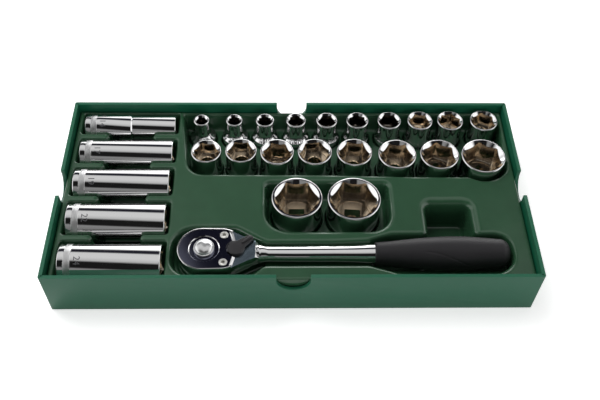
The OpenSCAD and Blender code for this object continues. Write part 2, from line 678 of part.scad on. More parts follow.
module drive_gear() color("silver") at_ratchet() difference() {
    union() {
        translate([0, 0, gear_z]) linear_extrude(gear_top - gear_z)
            polygon([for (i = [0 : gear_teeth - 1]) each
                [polar(gear_r, i * tooth_pitch), polar(gear_r - tooth_h, (i + 0.5) * tooth_pitch)]]);
        cylinder(r = hub_r, h = hub_top);
        intersection() {
            translate([-drive_sq / 2, -drive_sq / 2, -drive_l]) cube([drive_sq, drive_sq, drive_l + over]);
            translate([0, 0, -drive_l])
                cylinder(r1 = drive_tip_r, r2 = drive_tip_r + 2 * drive_l, h = 2 * drive_l);
        }
    }
    translate([0, 0, -drive_l - over]) cylinder(r = pin_r + run_gap, h = drive_l + hub_top + 2 * over);
    translate([0, 0, well_z]) cylinder(r = button_r + button_gap, h = hub_top);
    // seat of the detent ball, narrowed at its mouth
    translate([0, 0, ball_z]) rotate([0, -90, 0]) {
        cylinder(r = ball_r + run_gap, h = drive_sq / 2 - 0.75);
        translate([0, 0, drive_sq / 2 - 0.76]) cylinder(r1 = ball_r + run_gap, r2 = ball_r - 0.28, h = 0.77);
    }
}

module release_button() color("silver") at_ratchet() rotate_extrude() polygon(concat(
    [[0, button_z], [button_r, button_z], [button_r, button_z + 5.5]],
    [for (a = [10 : 10 : 90]) [button_r * cos(a), button_z + 5.5 + dome_h * sin(a)]]));

module release_pin() color("silver") at_ratchet() rotate_extrude() polygon([
    [0, button_z], [pin_r, button_z], [pin_r, ball_z + button_travel + 2.2],
    [groove_r, ball_z + button_travel + 0.3], [groove_r, ball_z + button_travel], [pin_r, ball_z],
    [pin_r, -drive_l + button_travel + 0.6],
    [pin_r - 0.6, -drive_l + button_travel], [0, -drive_l + button_travel]]);

// The coil spring under the button, drawn as a stack of rings
module release_spring() color("silver") at_ratchet()
    for (k = [0 : spring_rings - 1]) translate([0, 0, spring_z + k * spring_l / (spring_rings - 1)])
        rotate_extrude() translate([spring_r, 0]) circle(spring_wire, $fn = 16);

module detent_ball() color("silver") at_ratchet()
    translate([-(drive_sq / 2 + ball_out - ball_r), 0, ball_z]) sphere(ball_r);

grip_neck_r = neck_r + 1.2;     // the grip at its end towards the head
function grip_at(t) = grip_neck_r + (grip_r - grip_neck_r) * pow(sin(min(90, t * 155)), 1.4)
    - 8 * max(0, t - 0.68);
module handle_grip() color("#1b1c1e") at_ratchet()
    translate([grip_from, 0, axis_h]) rotate([0, 90, 0]) difference() {
        rotate_extrude() polygon(concat([[0, 0], [grip_neck_r - 0.8, 0], [grip_neck_r, 1]],
            [for (t = [0.1 : 0.1 : 0.9]) [grip_at(t), t * grip_l]],
            [[grip_r - 3.1, grip_l - 6.1], [grip_r - 5.6, grip_l - 2.5], [grip_r - 8.9, grip_l],
             [0, grip_l]]));
        translate([0, 0, -over]) cylinder(r = tang_r + run_gap, h = tang_l + over + 0.3);
    }

tray_shell();
insert_deck();
insert_trough_left();
insert_channel();
insert_trough_right();
insert_row_cups();
insert_large_cups();
insert_ratchet_pocket();
insert_finger_pocket();
for (i = [0 : n_short - 1]) short_socket(i);
for (i = [0 : n_deep - 1]) deep_socket(i);
ratchet_body();
cover_plate();
cover_screws();
reversing_lever();
lever_plunger();
pawl();
pawl_pin();
drive_gear();
release_button();
release_pin();
release_spring();
detent_ball();
handle_grip();
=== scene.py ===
"""Half-inch drive socket wrench set in an open tray, dressed over its solids.

Twenty short sockets stand in cups, five deep ones lie in troughs, and a quick-release ratchet
lies in front of them. Lengths in the tables are millimetres; the meshes are metres.
"""
import math
from contextlib import contextmanager

import bmesh
import bpy
import numpy as np
from mathutils import Matrix, Vector


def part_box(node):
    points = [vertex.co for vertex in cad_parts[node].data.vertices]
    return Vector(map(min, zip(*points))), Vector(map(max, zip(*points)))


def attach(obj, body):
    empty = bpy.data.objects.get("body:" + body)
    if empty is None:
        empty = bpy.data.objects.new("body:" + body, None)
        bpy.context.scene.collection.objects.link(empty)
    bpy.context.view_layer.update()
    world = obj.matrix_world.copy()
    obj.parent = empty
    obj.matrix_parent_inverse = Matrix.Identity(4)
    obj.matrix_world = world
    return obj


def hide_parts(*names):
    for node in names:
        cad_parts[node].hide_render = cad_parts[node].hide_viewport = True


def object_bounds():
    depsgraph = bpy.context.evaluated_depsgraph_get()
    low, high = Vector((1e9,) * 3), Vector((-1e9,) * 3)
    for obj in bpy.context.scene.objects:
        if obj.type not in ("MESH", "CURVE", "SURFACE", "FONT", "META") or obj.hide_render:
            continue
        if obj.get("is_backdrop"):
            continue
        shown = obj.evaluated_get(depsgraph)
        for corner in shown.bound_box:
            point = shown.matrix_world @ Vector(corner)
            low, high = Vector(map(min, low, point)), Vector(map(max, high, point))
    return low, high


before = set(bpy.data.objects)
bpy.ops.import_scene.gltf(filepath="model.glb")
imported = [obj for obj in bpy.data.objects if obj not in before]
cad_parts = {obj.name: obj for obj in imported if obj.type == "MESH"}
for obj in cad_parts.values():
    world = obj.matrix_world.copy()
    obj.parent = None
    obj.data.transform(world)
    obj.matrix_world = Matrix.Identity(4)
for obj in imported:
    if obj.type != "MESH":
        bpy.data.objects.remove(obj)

bl_info = {
    "name": "Socket wrench set",
    "version": (1, 0, 0),
    "blender": (4, 5, 0),
    "location": "View3D > Sidebar > Socket set",
    "description": "Builds a half-inch drive socket wrench set in an open tray",
    "category": "Add Mesh",
}

MM = 0.001


# ---- Colours and nodes ----

def linear(hex_colour):
    """Linear RGBA of an sRGB hex colour."""
    channels = [int(hex_colour[i:i + 2], 16) / 255 for i in (1, 3, 5)]
    return tuple(c / 12.92 if c <= 0.04045 else ((c + 0.055) / 1.055) ** 2.4
                 for c in channels) + (1.0,)


def shade(colour, factor):
    """The colour made darker or lighter by a factor."""
    return tuple(c * factor for c in colour[:3]) + (1.0,)


def add_node(tree, kind, inputs=None, **settings):
    """A node with its settings; each input takes a value, or an output to link from."""
    node = tree.nodes.new(kind)
    for name, value in settings.items():
        setattr(node, name, value)
    for name, value in (inputs or {}).items():
        if isinstance(value, bpy.types.NodeSocket):
            tree.links.new(value, node.inputs[name])
        else:
            node.inputs[name].default_value = value
    return node


def start_material(name):
    """A new material, and its node tree with no nodes in it."""
    material = bpy.data.materials.new(name)
    material.use_nodes = True
    material.node_tree.nodes.clear()
    return material, material.node_tree


def surfaced(material, inputs):
    """The material with its Principled shader, whose sockets take the values or outputs given."""
    tree = material.node_tree
    shader = add_node(tree, "ShaderNodeBsdfPrincipled", inputs)
    add_node(tree, "ShaderNodeOutputMaterial", {"Surface": shader.outputs["BSDF"]})
    return material


# ---- Sizes and colours that a user would change ----

class SocketSetSizes(bpy.types.PropertyGroup):
    """Sizes of the edges and of the formed insert."""

    rim_bevel: bpy.props.FloatProperty(
        name="Rim bevel", description="Width of the bevel along the tray's edges",
        default=0.45 * MM, unit="LENGTH")
    deck_round: bpy.props.FloatProperty(
        name="Deck rounding", description="Radius with which the deck turns down into a pocket",
        default=3.2 * MM, unit="LENGTH")
    floor_round: bpy.props.FloatProperty(
        name="Floor rounding", description="Radius between a pocket's wall and its floor",
        default=2.0 * MM, unit="LENGTH")
    grid_step: bpy.props.FloatProperty(
        name="Insert grid", description="Spacing of the insert's grid before it is thinned out",
        default=0.6 * MM, unit="LENGTH")
    mark_height: bpy.props.FloatProperty(
        name="Mark height", description="Height of the size numbers on the sockets",
        default=5.0 * MM, unit="LENGTH")
    socket_segments: bpy.props.IntProperty(
        name="Socket segments", description="Segments round a socket, a multiple of 12",
        default=120)


class SocketSetColours(bpy.types.PropertyGroup):
    """Colours of the set."""

    tray: bpy.props.FloatVectorProperty(
        name="Tray", description="Colour of the moulded tray", subtype="COLOR", size=4,
        default=linear("#15583f"))
    insert: bpy.props.FloatVectorProperty(
        name="Insert", description="Colour of the formed insert", subtype="COLOR", size=4,
        default=linear("#284a33"))
    chrome: bpy.props.FloatVectorProperty(
        name="Chrome", description="Colour of the chrome plate", subtype="COLOR", size=4,
        default=linear("#dcdcdc"))
    plate: bpy.props.FloatVectorProperty(
        name="Cover plate", description="Colour of the ratchet's cover plate", subtype="COLOR",
        size=4,
        default=linear("#8d90a4"))
    grip: bpy.props.FloatVectorProperty(
        name="Grip", description="Colour of the ratchet's grip", subtype="COLOR", size=4,
        default=linear("#242325"))
    lever: bpy.props.FloatVectorProperty(
        name="Lever", description="Colour of the reversing lever", subtype="COLOR", size=4,
        default=linear("#1a191b"))


# ---- Mesh helpers ----

def verts_of(geom):
    """The vertices in what an operator returned."""
    return [v for v in geom if isinstance(v, bmesh.types.BMVert)]


def edges_of(geom):
    """The edges in what an operator returned."""
    return [e for e in geom if isinstance(e, bmesh.types.BMEdge)]


def all_of(bm):
    """Everything in a mesh, in the form that an operator takes."""
    return bm.verts[:] + bm.edges[:] + bm.faces[:]


def mesh_from(bm, name):
    """A mesh of what was modelled, which is freed."""
    mesh = bpy.data.meshes.new(name)
    bm.to_mesh(mesh)
    bm.free()
    return mesh


def placed(name, data):
    """A new object in the scene that shows this mesh, lamp or camera."""
    thing = bpy.data.objects.new(name, data)
    bpy.context.scene.collection.objects.link(thing)
    return thing


def piece_from(bm, name, node_names, body, materials):
    """A finished piece at the origin that rides on its body and stands for its nodes."""
    mesh = mesh_from(bm, name)
    for polygon in mesh.polygons:
        polygon.use_smooth = True
    for material in materials:
        mesh.materials.append(material)
    piece = placed(name, mesh)
    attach(piece, body)
    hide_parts(*node_names)
    return piece


def helper(bm, name="cutter"):
    """A helper piece for a cut or a join, which isn't kept."""
    return placed(name, mesh_from(bm, name))


def add_part(bm, part):
    """Adds one modelled part to another, and frees it."""
    mesh = mesh_from(part, "part")
    bm.from_mesh(mesh)
    bpy.data.meshes.remove(mesh)


@contextmanager
def remodelled(piece):
    """A piece's mesh to work on, which goes back into the piece at the end."""
    bm = bmesh.new()
    bm.from_mesh(piece.data)
    yield bm
    bm.to_mesh(piece.data)
    bm.free()


def sharpen(bm, degrees):
    """Edges that turn by more than this stay sharp under smooth shading."""
    for edge in bm.edges:
        edge.smooth = (len(edge.link_faces) == 2
                       and edge.calc_face_angle() < math.radians(degrees))


def settle_shading(piece, degrees=35, flats=False):
    """Smooth shading with the sharper edges kept; the level cut faces can stay quite flat."""
    with remodelled(piece) as bm:
        for face in bm.faces:
            level = abs(face.normal.z) > 0.9999
            face.smooth = not (flats and len(face.verts) > 4 and level)
        sharpen(bm, degrees)


def outline_face(bm, points, z, radii, steps):
    """A flat face from a few corners, each rounded by a bevel of its own radius."""
    corners = [bm.verts.new((x * MM, y * MM, z * MM)) for x, y in points]
    bm.faces.new(corners)
    for i, radius in enumerate(radii):
        if not radius:
            continue
        before = Vector(points[i]) - Vector(points[i - 1])
        after = Vector(points[(i + 1) % len(points)]) - Vector(points[i])
        reach = radius * math.tan(before.angle(after) / 2)
        bmesh.ops.bevel(bm, geom=[corners[i]], offset=reach * MM, offset_type="OFFSET",
                        affect="VERTICES", segments=steps, profile=0.5, material=-1)


def raise_faces(bm, height):
    """Makes the flat faces of a mesh a closed prism of this height."""
    made = bmesh.ops.extrude_face_region(bm, geom=bm.faces[:])["geom"]
    bmesh.ops.translate(bm, vec=(0, 0, height * MM), verts=verts_of(made))
    bmesh.ops.recalc_face_normals(bm, faces=bm.faces)


def round_edges(bm, edges, width, segments):
    """A round bevel along these edges."""
    bmesh.ops.bevel(bm, geom=list(edges), offset=width * MM, offset_type="OFFSET",
                    affect="EDGES", segments=segments, profile=0.5, material=-1,
                    clamp_overlap=True)


def lathe(bm, profile, segments):
    """A closed solid of revolution about Z; its (radius, height) points end on the axis."""
    verts = [bm.verts.new((r * MM, 0, z * MM)) for r, z in profile]
    edges = [bm.edges.new(pair) for pair in zip(verts, verts[1:])]
    bmesh.ops.spin(bm, geom=verts + edges, cent=(0, 0, 0), axis=(0, 0, 1), angle=2 * math.pi,
                   steps=segments, use_merge=True)
    bmesh.ops.remove_doubles(bm, verts=bm.verts, dist=1e-6)
    bmesh.ops.recalc_face_normals(bm, faces=bm.faces)


def block(size, middle):
    """A box of this size round a middle, in millimetres."""
    bm = bmesh.new()
    bmesh.ops.create_cube(bm, size=1.0)
    bmesh.ops.scale(bm, vec=Vector(size) * MM, verts=bm.verts)
    bmesh.ops.translate(bm, vec=Vector(middle) * MM, verts=bm.verts)
    return bm


def apply_modifiers(piece):
    """The piece keeps what its modifiers make, and loses the modifiers."""
    bpy.context.view_layer.update()
    graph = bpy.context.evaluated_depsgraph_get()
    made = bpy.data.meshes.new_from_object(piece.evaluated_get(graph))
    old = piece.data
    piece.modifiers.clear()
    piece.data = made
    made.name = old.name
    bpy.data.meshes.remove(old)


def combine(piece, helpers, operation="DIFFERENCE"):
    """Cuts helper pieces out of a piece, or joins them to it by UNION, and removes them."""
    for other in helpers:
        modifier = piece.modifiers.new("combine", "BOOLEAN")
        modifier.operation = operation
        modifier.solver = "EXACT"
        modifier.object = other
    apply_modifiers(piece)
    for other in helpers:
        bpy.data.objects.remove(other)


# ---- Materials ----

def tray_plastic(colour):
    """Injection-moulded ABS, spark-eroded to a fine grain: semi-gloss, with a soft reflection."""
    material, tree = start_material("Moulded ABS, dark green")
    place = add_node(tree, "ShaderNodeTexCoord").outputs["Object"]
    grain = add_node(tree, "ShaderNodeTexNoise", {
        "Vector": place, "Scale": 1 / (0.9 * MM), "Detail": 2.0})
    bump = add_node(tree, "ShaderNodeBump", {
        "Height": grain.outputs["Fac"], "Strength": 0.06, "Distance": 0.05 * MM})
    cloud = add_node(tree, "ShaderNodeTexNoise", {
        "Vector": place, "Scale": 1 / (60 * MM), "Detail": 1.0})
    tone = add_node(tree, "ShaderNodeMix", {
        "Factor": cloud.outputs["Fac"], "A": shade(colour, 0.94), "B": shade(colour, 1.06)},
        data_type="RGBA")
    return surfaced(material, {
        "Base Color": tone.outputs["Result"], "Normal": bump.outputs["Normal"],
        "Roughness": 0.34, "IOR": 1.53})


def insert_plastic(colour):
    """Vacuum-formed polystyrene sheet: glossy, slightly wavy from the stretch, finely grained."""
    material, tree = start_material("Vacuum-formed polystyrene, dull green")
    place = add_node(tree, "ShaderNodeTexCoord").outputs["Object"]
    wave = add_node(tree, "ShaderNodeTexNoise", {
        "Vector": place, "Scale": 1 / (14 * MM), "Detail": 1.0})
    peel = add_node(tree, "ShaderNodeTexNoise", {
        "Vector": place, "Scale": 1 / (1.1 * MM), "Detail": 1.0})
    slow = add_node(tree, "ShaderNodeBump", {
        "Height": wave.outputs["Fac"], "Strength": 0.35, "Distance": 0.5 * MM})
    fine = add_node(tree, "ShaderNodeBump", {
        "Height": peel.outputs["Fac"], "Strength": 0.08, "Distance": 0.06 * MM,
        "Normal": slow.outputs["Normal"]})
    tone = add_node(tree, "ShaderNodeMix", {
        "Factor": wave.outputs["Fac"], "A": shade(colour, 0.9), "B": shade(colour, 1.1)},
        data_type="RGBA")
    return surfaced(material, {
        "Base Color": tone.outputs["Result"], "Normal": fine.outputs["Normal"],
        "Roughness": 0.24, "IOR": 1.59})


def polished_chrome(colour, name="Polished chrome plate", low=0.03, high=0.09):
    """Decorative chrome over polished steel: mirror bright, with faint wiping marks."""
    material, tree = start_material(name)
    place = add_node(tree, "ShaderNodeTexCoord").outputs["Object"]
    wipe = add_node(tree, "ShaderNodeTexNoise", {
        "Vector": place, "Scale": 1 / (9 * MM), "Detail": 3.0})
    rough = add_node(tree, "ShaderNodeMapRange", {
        "Value": wipe.outputs["Fac"], "From Min": 0.3, "From Max": 0.75,
        "To Min": low, "To Max": high})
    return surfaced(material, {
        "Base Color": colour, "Metallic": 1.0, "Roughness": rough.outputs["Result"]})


def lined_steel(name, stretch, pitch, detail, tones, rough):
    """Bare or thinly plated steel, with fine tool lines along the axis of the smallest scale.

    The pitch of the lines is in millimetres; rough holds the Map Range's own limits.
    """
    material, tree = start_material(name)
    place = add_node(tree, "ShaderNodeTexCoord").outputs["Object"]
    drawn = add_node(tree, "ShaderNodeMapping", {"Vector": place, "Scale": stretch})
    lines = add_node(tree, "ShaderNodeTexNoise", {
        "Vector": drawn.outputs["Vector"], "Scale": 1 / (pitch * MM), "Detail": detail})
    tone = add_node(tree, "ShaderNodeMix", {
        "Factor": lines.outputs["Fac"], "A": linear(tones[0]), "B": linear(tones[1])},
        data_type="RGBA")
    spread = add_node(tree, "ShaderNodeMapRange", {"Value": lines.outputs["Fac"], **rough})
    return surfaced(material, {
        "Base Color": tone.outputs["Result"], "Metallic": 1.0,
        "Roughness": spread.outputs["Result"]})


def broached_steel(name, *tones):
    """Inside of a socket: broached and thinly plated, so warmer and duller than the outside."""
    return lined_steel(name, (1.0, 1.0, 0.08), 1.2, 1.0, tones,
                       {"From Min": 0.2, "From Max": 0.8, "To Min": 0.12, "To Max": 0.18})


def machined_steel(name, dull, *tones):
    """Hardened steel, ground and oiled: grey, with fine lines across it."""
    return lined_steel(name, (0.1, 1.0, 1.0), 0.6, 2.0, tones,
                       {"To Min": dull, "To Max": dull + 0.16})


def knurled_chrome(colour):
    """Chrome over a fine diamond knurl: it scatters the light, so it looks pale and matte."""
    material, tree = start_material("Knurled chrome band")
    place = add_node(tree, "ShaderNodeUVMap").outputs["UV"]
    # the real pitch is about 0.8 mm; drawn at 1.1 mm so that it shows
    pitch = 1.1
    waves = []
    for turn in (30, -30):
        turned = add_node(tree, "ShaderNodeMapping", {
            "Vector": place, "Rotation": (0, 0, math.radians(turn)),
            "Scale": (1 / pitch, 1 / pitch, 1.0)})
        waves.append(add_node(tree, "ShaderNodeTexWave", {
            "Vector": turned.outputs["Vector"], "Scale": math.pi / 10}, wave_profile="TRI"))
    both = add_node(tree, "ShaderNodeMath", {
        0: waves[0].outputs["Fac"], 1: waves[1].outputs["Fac"]}, operation="ADD")
    bump = add_node(tree, "ShaderNodeBump", {
        "Height": both.outputs[0], "Strength": 0.6, "Distance": 0.15 * MM})
    return surfaced(material, {
        "Base Color": colour, "Metallic": 1.0, "Roughness": 0.34,
        "Normal": bump.outputs["Normal"]})


def etched_mark():
    """Laser-etched number: the plate is burnt to a dull grey."""
    material, tree = start_material("Laser-etched mark")
    place = add_node(tree, "ShaderNodeTexCoord").outputs["Object"]
    dots = add_node(tree, "ShaderNodeTexNoise", {"Vector": place, "Scale": 1 / (0.3 * MM)})
    tone = add_node(tree, "ShaderNodeMix", {
        "Factor": dots.outputs["Fac"], "A": linear("#4a4a4c"), "B": linear("#77777a")},
        data_type="RGBA")
    return surfaced(material, {
        "Base Color": tone.outputs["Result"], "Metallic": 0.7, "Roughness": 0.55})


def lever_nylon(colour):
    """Glass-filled nylon: black, with a fine dry grain."""
    material, tree = start_material("Glass-filled nylon, black")
    place = add_node(tree, "ShaderNodeTexCoord").outputs["Object"]
    grain = add_node(tree, "ShaderNodeTexNoise", {
        "Vector": place, "Scale": 1 / (0.5 * MM), "Detail": 3.0})
    bump = add_node(tree, "ShaderNodeBump", {
        "Height": grain.outputs["Fac"], "Strength": 0.2, "Distance": 0.08 * MM})
    tone = add_node(tree, "ShaderNodeMix", {
        "Factor": grain.outputs["Fac"], "A": shade(colour, 0.8), "B": shade(colour, 1.2)},
        data_type="RGBA")
    return surfaced(material, {
        "Base Color": tone.outputs["Result"], "Normal": bump.outputs["Normal"],
        "Roughness": 0.4, "IOR": 1.53})


def grip_rubber(colour):
    """Thermoplastic rubber, moulded with a fine grain: near black, with a broad dull sheen."""
    material, tree = start_material("Thermoplastic rubber, black")
    place = add_node(tree, "ShaderNodeTexCoord").outputs["Object"]
    grain = add_node(tree, "ShaderNodeTexNoise", {
        "Vector": place, "Scale": 1 / (0.45 * MM), "Detail": 2.0})
    rub = add_node(tree, "ShaderNodeTexNoise", {
        "Vector": place, "Scale": 1 / (18 * MM), "Detail": 2.0})
    bump = add_node(tree, "ShaderNodeBump", {
        "Height": grain.outputs["Fac"], "Strength": 0.25, "Distance": 0.08 * MM})
    tone = add_node(tree, "ShaderNodeMix", {
        "Factor": rub.outputs["Fac"], "A": shade(colour, 0.85), "B": shade(colour, 1.15)},
        data_type="RGBA")
    rough = add_node(tree, "ShaderNodeMapRange", {
        "Value": rub.outputs["Fac"], "To Min": 0.44, "To Max": 0.58})
    return surfaced(material, {
        "Base Color": tone.outputs["Result"], "Roughness": rough.outputs["Result"],
        "Normal": bump.outputs["Normal"], "IOR": 1.5, "Specular IOR Level": 0.3})


FINISHES = {}


def finish(name):
    """The set's material of this name, made once."""
    colours = bpy.context.scene.socket_set_colours
    chrome, plate = tuple(colours.chrome), tuple(colours.plate)
    makers = {
        "tray": lambda: tray_plastic(tuple(colours.tray)),
        "insert": lambda: insert_plastic(tuple(colours.insert)),
        "chrome": lambda: polished_chrome(chrome),
        "satin": lambda: polished_chrome(chrome, "Satin chrome plate", 0.27, 0.33),
        "plate": lambda: polished_chrome(plate, "Dark polished cover plate", 0.04, 0.08),
        "slate": lambda: polished_chrome(linear("#93a5b0"), "Satin chrome flat", 0.2, 0.26),
        "bore": lambda: broached_steel("Broached steel, thinly plated", "#d4c8b7", "#e2d7c7"),
        # the small sockets' insides are painted darker, as painted shade in their narrow bores
        "shaded_small_bore": lambda: broached_steel("Broached steel, painted shade", "#6b6560", "#837c74"),
        "knurl": lambda: knurled_chrome(chrome),
        "mark": etched_mark,
        "steel": lambda: machined_steel("Machined steel", 0.2, "#8f9092", "#b4b5b6"),
        "screw": lambda: machined_steel("Nickel-plated screw steel", 0.42, "#c9c8c4", "#e4e3de"),
        "lever": lambda: lever_nylon(tuple(colours.lever)),
        "grip": lambda: grip_rubber(tuple(colours.grip)),
    }
    if name not in FINISHES:
        FINISHES[name] = makers[name]()
    return FINISHES[name]


# ---- The set's own sizes, in millimetres ----

def box_mm(node):
    """Lowest and highest corner of a node, in millimetres."""
    low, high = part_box(node)
    return low / MM, high / MM


# the tray: thickness of its walls and floor, its upright corners and its finger notches
SHELL_LOW, SHELL_HIGH = box_mm("tray_shell")
WALL, TRAY_FLOOR, TRAY_CORNER = 2.8, 2.0, 1.5
NOTCH_W, NOTCH_DEPTH = 25.0, 17.0

# the insert: levels of its deck and of the floors of its hollows, above the table
PANELS = sorted(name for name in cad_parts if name.startswith("insert_"))
INSERT_LOW = Vector(min(box_mm(name)[0][i] for name in PANELS) for i in range(3))
INSERT_HIGH = Vector(max(box_mm(name)[1][i] for name in PANELS) for i in range(3))
SHEET, SKIRT_H, EDGE_GAP, RIM_ROUND = 1.2, 20.0, 0.05, 1.3
DECK_Z, RECESS_Z, CUP_Z, CHANNEL_Z, FINGER_Z = 36.0, 18.0, 3.2, 5.2, 6.2
OUTER_Z, SEAT_Z, GRIP_Z = 22.1, 18.3, 30.5
CHANNEL_W, CHANNEL_SHIFT, CHANNEL_END = 36.0, 1.45, 3.4
FINGER_W, FINGER_L, FINGER_FROM = 35.0, 31.4, 60.0
SCALLOP_GAP, CUP_GAP, TROUGH_GAP, TROUGH_END = 1.8, 0.9, 0.5, 2.5
TROUGH_LEAN, END_LEAN = 0.03, 0.05

# hexagon across flats, outside diameter at the mouth, depth of the hexagon, turn in degrees
SHORT = [
    (8, 13.0, 12.0, 0), (9, 13.8, 12.0, 34), (10, 15.2, 12.0, 30), (11, 16.5, 12.0, 16),
    (12, 17.6, 13.0, 0), (13, 18.6, 13.0, 34), (14, 19.8, 13.0, -3), (15, 21.3, 14.0, -8),
    (16, 21.8, 14.0, 14), (17, 23.4, 14.0, 33),
    (18, 24.5, 13.5, -5), (19, 25.5, 13.0, 0), (20, 27.4, 21.0, -7), (21, 27.8, 12.6, 8),
    (22, 28.8, 17.5, -7), (23, 31.0, 19.0, -5), (24, 31.6, 20.0, 35), (27, 35.6, 22.0, 34),
    (30, 39.6, 23.0, 0), (32, 41.4, 22.5, -4),
]
BACK_ROW, MIDDLE_ROW = slice(0, 10), slice(10, 18)
# hexagon across flats, outside diameter at the mouth
DEEP = [(14, 20.4), (17, 24.0), (19, 26.5), (22, 30.0), (24, 32.0)]
DEEP_HEX = 24.0
DEEP_FROM = 60.0  # a socket longer than this is a deep one
# the square drive hole with its detent groove, and the outside round it
DRIVE_SQ, DRIVE_OD, DRIVE_END = 12.8, 22.0, 20.0
DETENT_Z, DETENT_HALF, DETENT_DEPTH = 8.0, 1.3, 0.9
SHOULDER = 3.5
DEEP_WAIST = 0.51  # share of a deep socket's length at which its drive end stops
BAND_FROM, BAND_W, BAND_H = 4.9, 5.0, 0.2
LEAD_SLOPE = math.tan(math.radians(46))
CORNER_EASE = 0.0163  # share of the size by which a hexagon's corners are eased
MARK_STEP, MARK_LIFT, CAP_SHARE = 0.6, 0.03, 0.72


def short_place(size, od):
    """Centre, height of the drive end, length and widest diameter of a standing socket."""
    low, high = box_mm("socket_%02dmm" % size)
    middle = (low + high) / 2
    return middle.x, middle.y, low.z, high.z - low.z, max(od, DRIVE_OD)


def deep_place(size):
    """Drive end, axis, length and widest diameter of a lying socket."""
    low, high = box_mm("deep_socket_%dmm" % size)
    middle = (low + high) / 2
    return low.x, middle.y, middle.z, high.x - low.x, high.y - low.y - 2 * BAND_H


# the ratchet, measured from the drive's axis at the underside of the head
HEAD_R, HEAD_L, HEAD_T = 18.6, 43.5, 20.0
HEAD_CORNERS = [
    (-1.5, -HEAD_R), (17, -18.1), (29.5, -11.6), (HEAD_L, -4.6), (HEAD_L, 4.6), (29.5, 11.6),
    (17, 18.1), (-1.5, HEAD_R), (-1.5 - HEAD_R, HEAD_R), (-1.5 - HEAD_R, -HEAD_R)]
HEAD_RADII = [0, 16, 0, 0, 0, 0, 16, 0, HEAD_R - 0.01, HEAD_R - 0.01]
HEAD_STEPS = 18
# the cover plate, whose two end edges slant back from the lever
PLATE_Z, PLATE_T, PLATE_EDGE = 17.0, 2.6, 1.3
PLATE_SLANT, PLATE_END = math.radians(15), 24.4
PLATE_TOP = PLATE_Z + PLATE_T
OVER = HEAD_T + 5  # where cutters stop above the head
# the nose lies lower than the head's face, and falls away to the shank at its end
NOSE_DROP, NOSE_END, NOSE_LAP = 1.6, 38.2, 0.3
LEVER_X, LEVER_R, LEVER_TURN, LEVER_ARM, LEVER_PIVOT = 24.0, 6.5, 40.0, 15.5, 5.4
SCREWS = ((14.6, 12.2), (14.6, -12.2))
HUB_R, GEAR_R = 10.8, 13.4
AXIS_H = 12.0
GRIP_FROM, GRIP_L, GRIP_R, GRIP_NECK = 128.0, 102.0, 12.9, 8.6
# distance along the handle and radius there
SHANK = [
    (30, 0), (30, 5.2), (38.6, 6.3), (40.6, 6.9), (41.6, 7.0), (43.0, 6.8), (45.6, 6.1),
    (48.0, 5.85), (68, 6.15), (GRIP_FROM - 30, 6.2), (GRIP_FROM - 16, 6.6),
    (GRIP_FROM - 6, 7.15), (GRIP_FROM + 1, 7.4), (GRIP_FROM + 1, 0)]


# ---- Stage ----

CAMERA_AT = (-0.008377, -0.391059, 0.532036)
CAMERA_YAW, CAMERA_PITCH, CAMERA_ROLL = 0.0373331, 0.9166374, 0.0287619
CAMERA_LENS = 47.79
FLOOR_HALF = 3.0
FLOOR_LIFT = 0.5
# name, energy, size and place of each lamp
LAMPS = (("softbox_back", 14.0, 1.0, (-0.5, 0.5, 1.2)),
         ("softbox_front", 8.6, 0.8, (0.5, -1.6, 0.45)))
# angle in degrees from the front horizon, over the top, and the studio's brightness there
BANDS = [(-90, 0.4), (-10, 0.2), (16, 0.3), (23, 0.012), (54, 0.012), (63, 0.6), (80, 0.8),
         (106, 0.8), (113, 0.02), (128, 0.02), (139, 1.6), (150, 4.2), (185, 4.8), (205, 1.6),
         (240, 0.5)]
BLUE_GAP, BLUE = 0.02, 1.5  # the gap of this brightness is this much bluer
# the bands lie lower towards the left and the right, by these angles from this far aside
SKEW_FROM, SKEW_LEFT, SKEW_RIGHT = 0.3, -0.51, -0.28
SIDE_FROM, SIDE_TO, SIDE_LEVEL = 0.64, 0.84, 1.4
PLAIN_LEVEL = 0.38


def camera_turn():
    """The camera's own axes, from its heading, downward tilt and roll."""
    yaw, pitch, roll = CAMERA_YAW, CAMERA_PITCH, CAMERA_ROLL
    forward = Vector((math.sin(yaw) * math.cos(pitch), math.cos(yaw) * math.cos(pitch),
                      -math.sin(pitch)))
    right = Vector((math.cos(yaw), -math.sin(yaw), 0))
    up = right.cross(forward)
    x = right * math.cos(roll) + up * math.sin(roll)
    y = up * math.cos(roll) - right * math.sin(roll)
    return Matrix((x, y, -forward)).transposed()


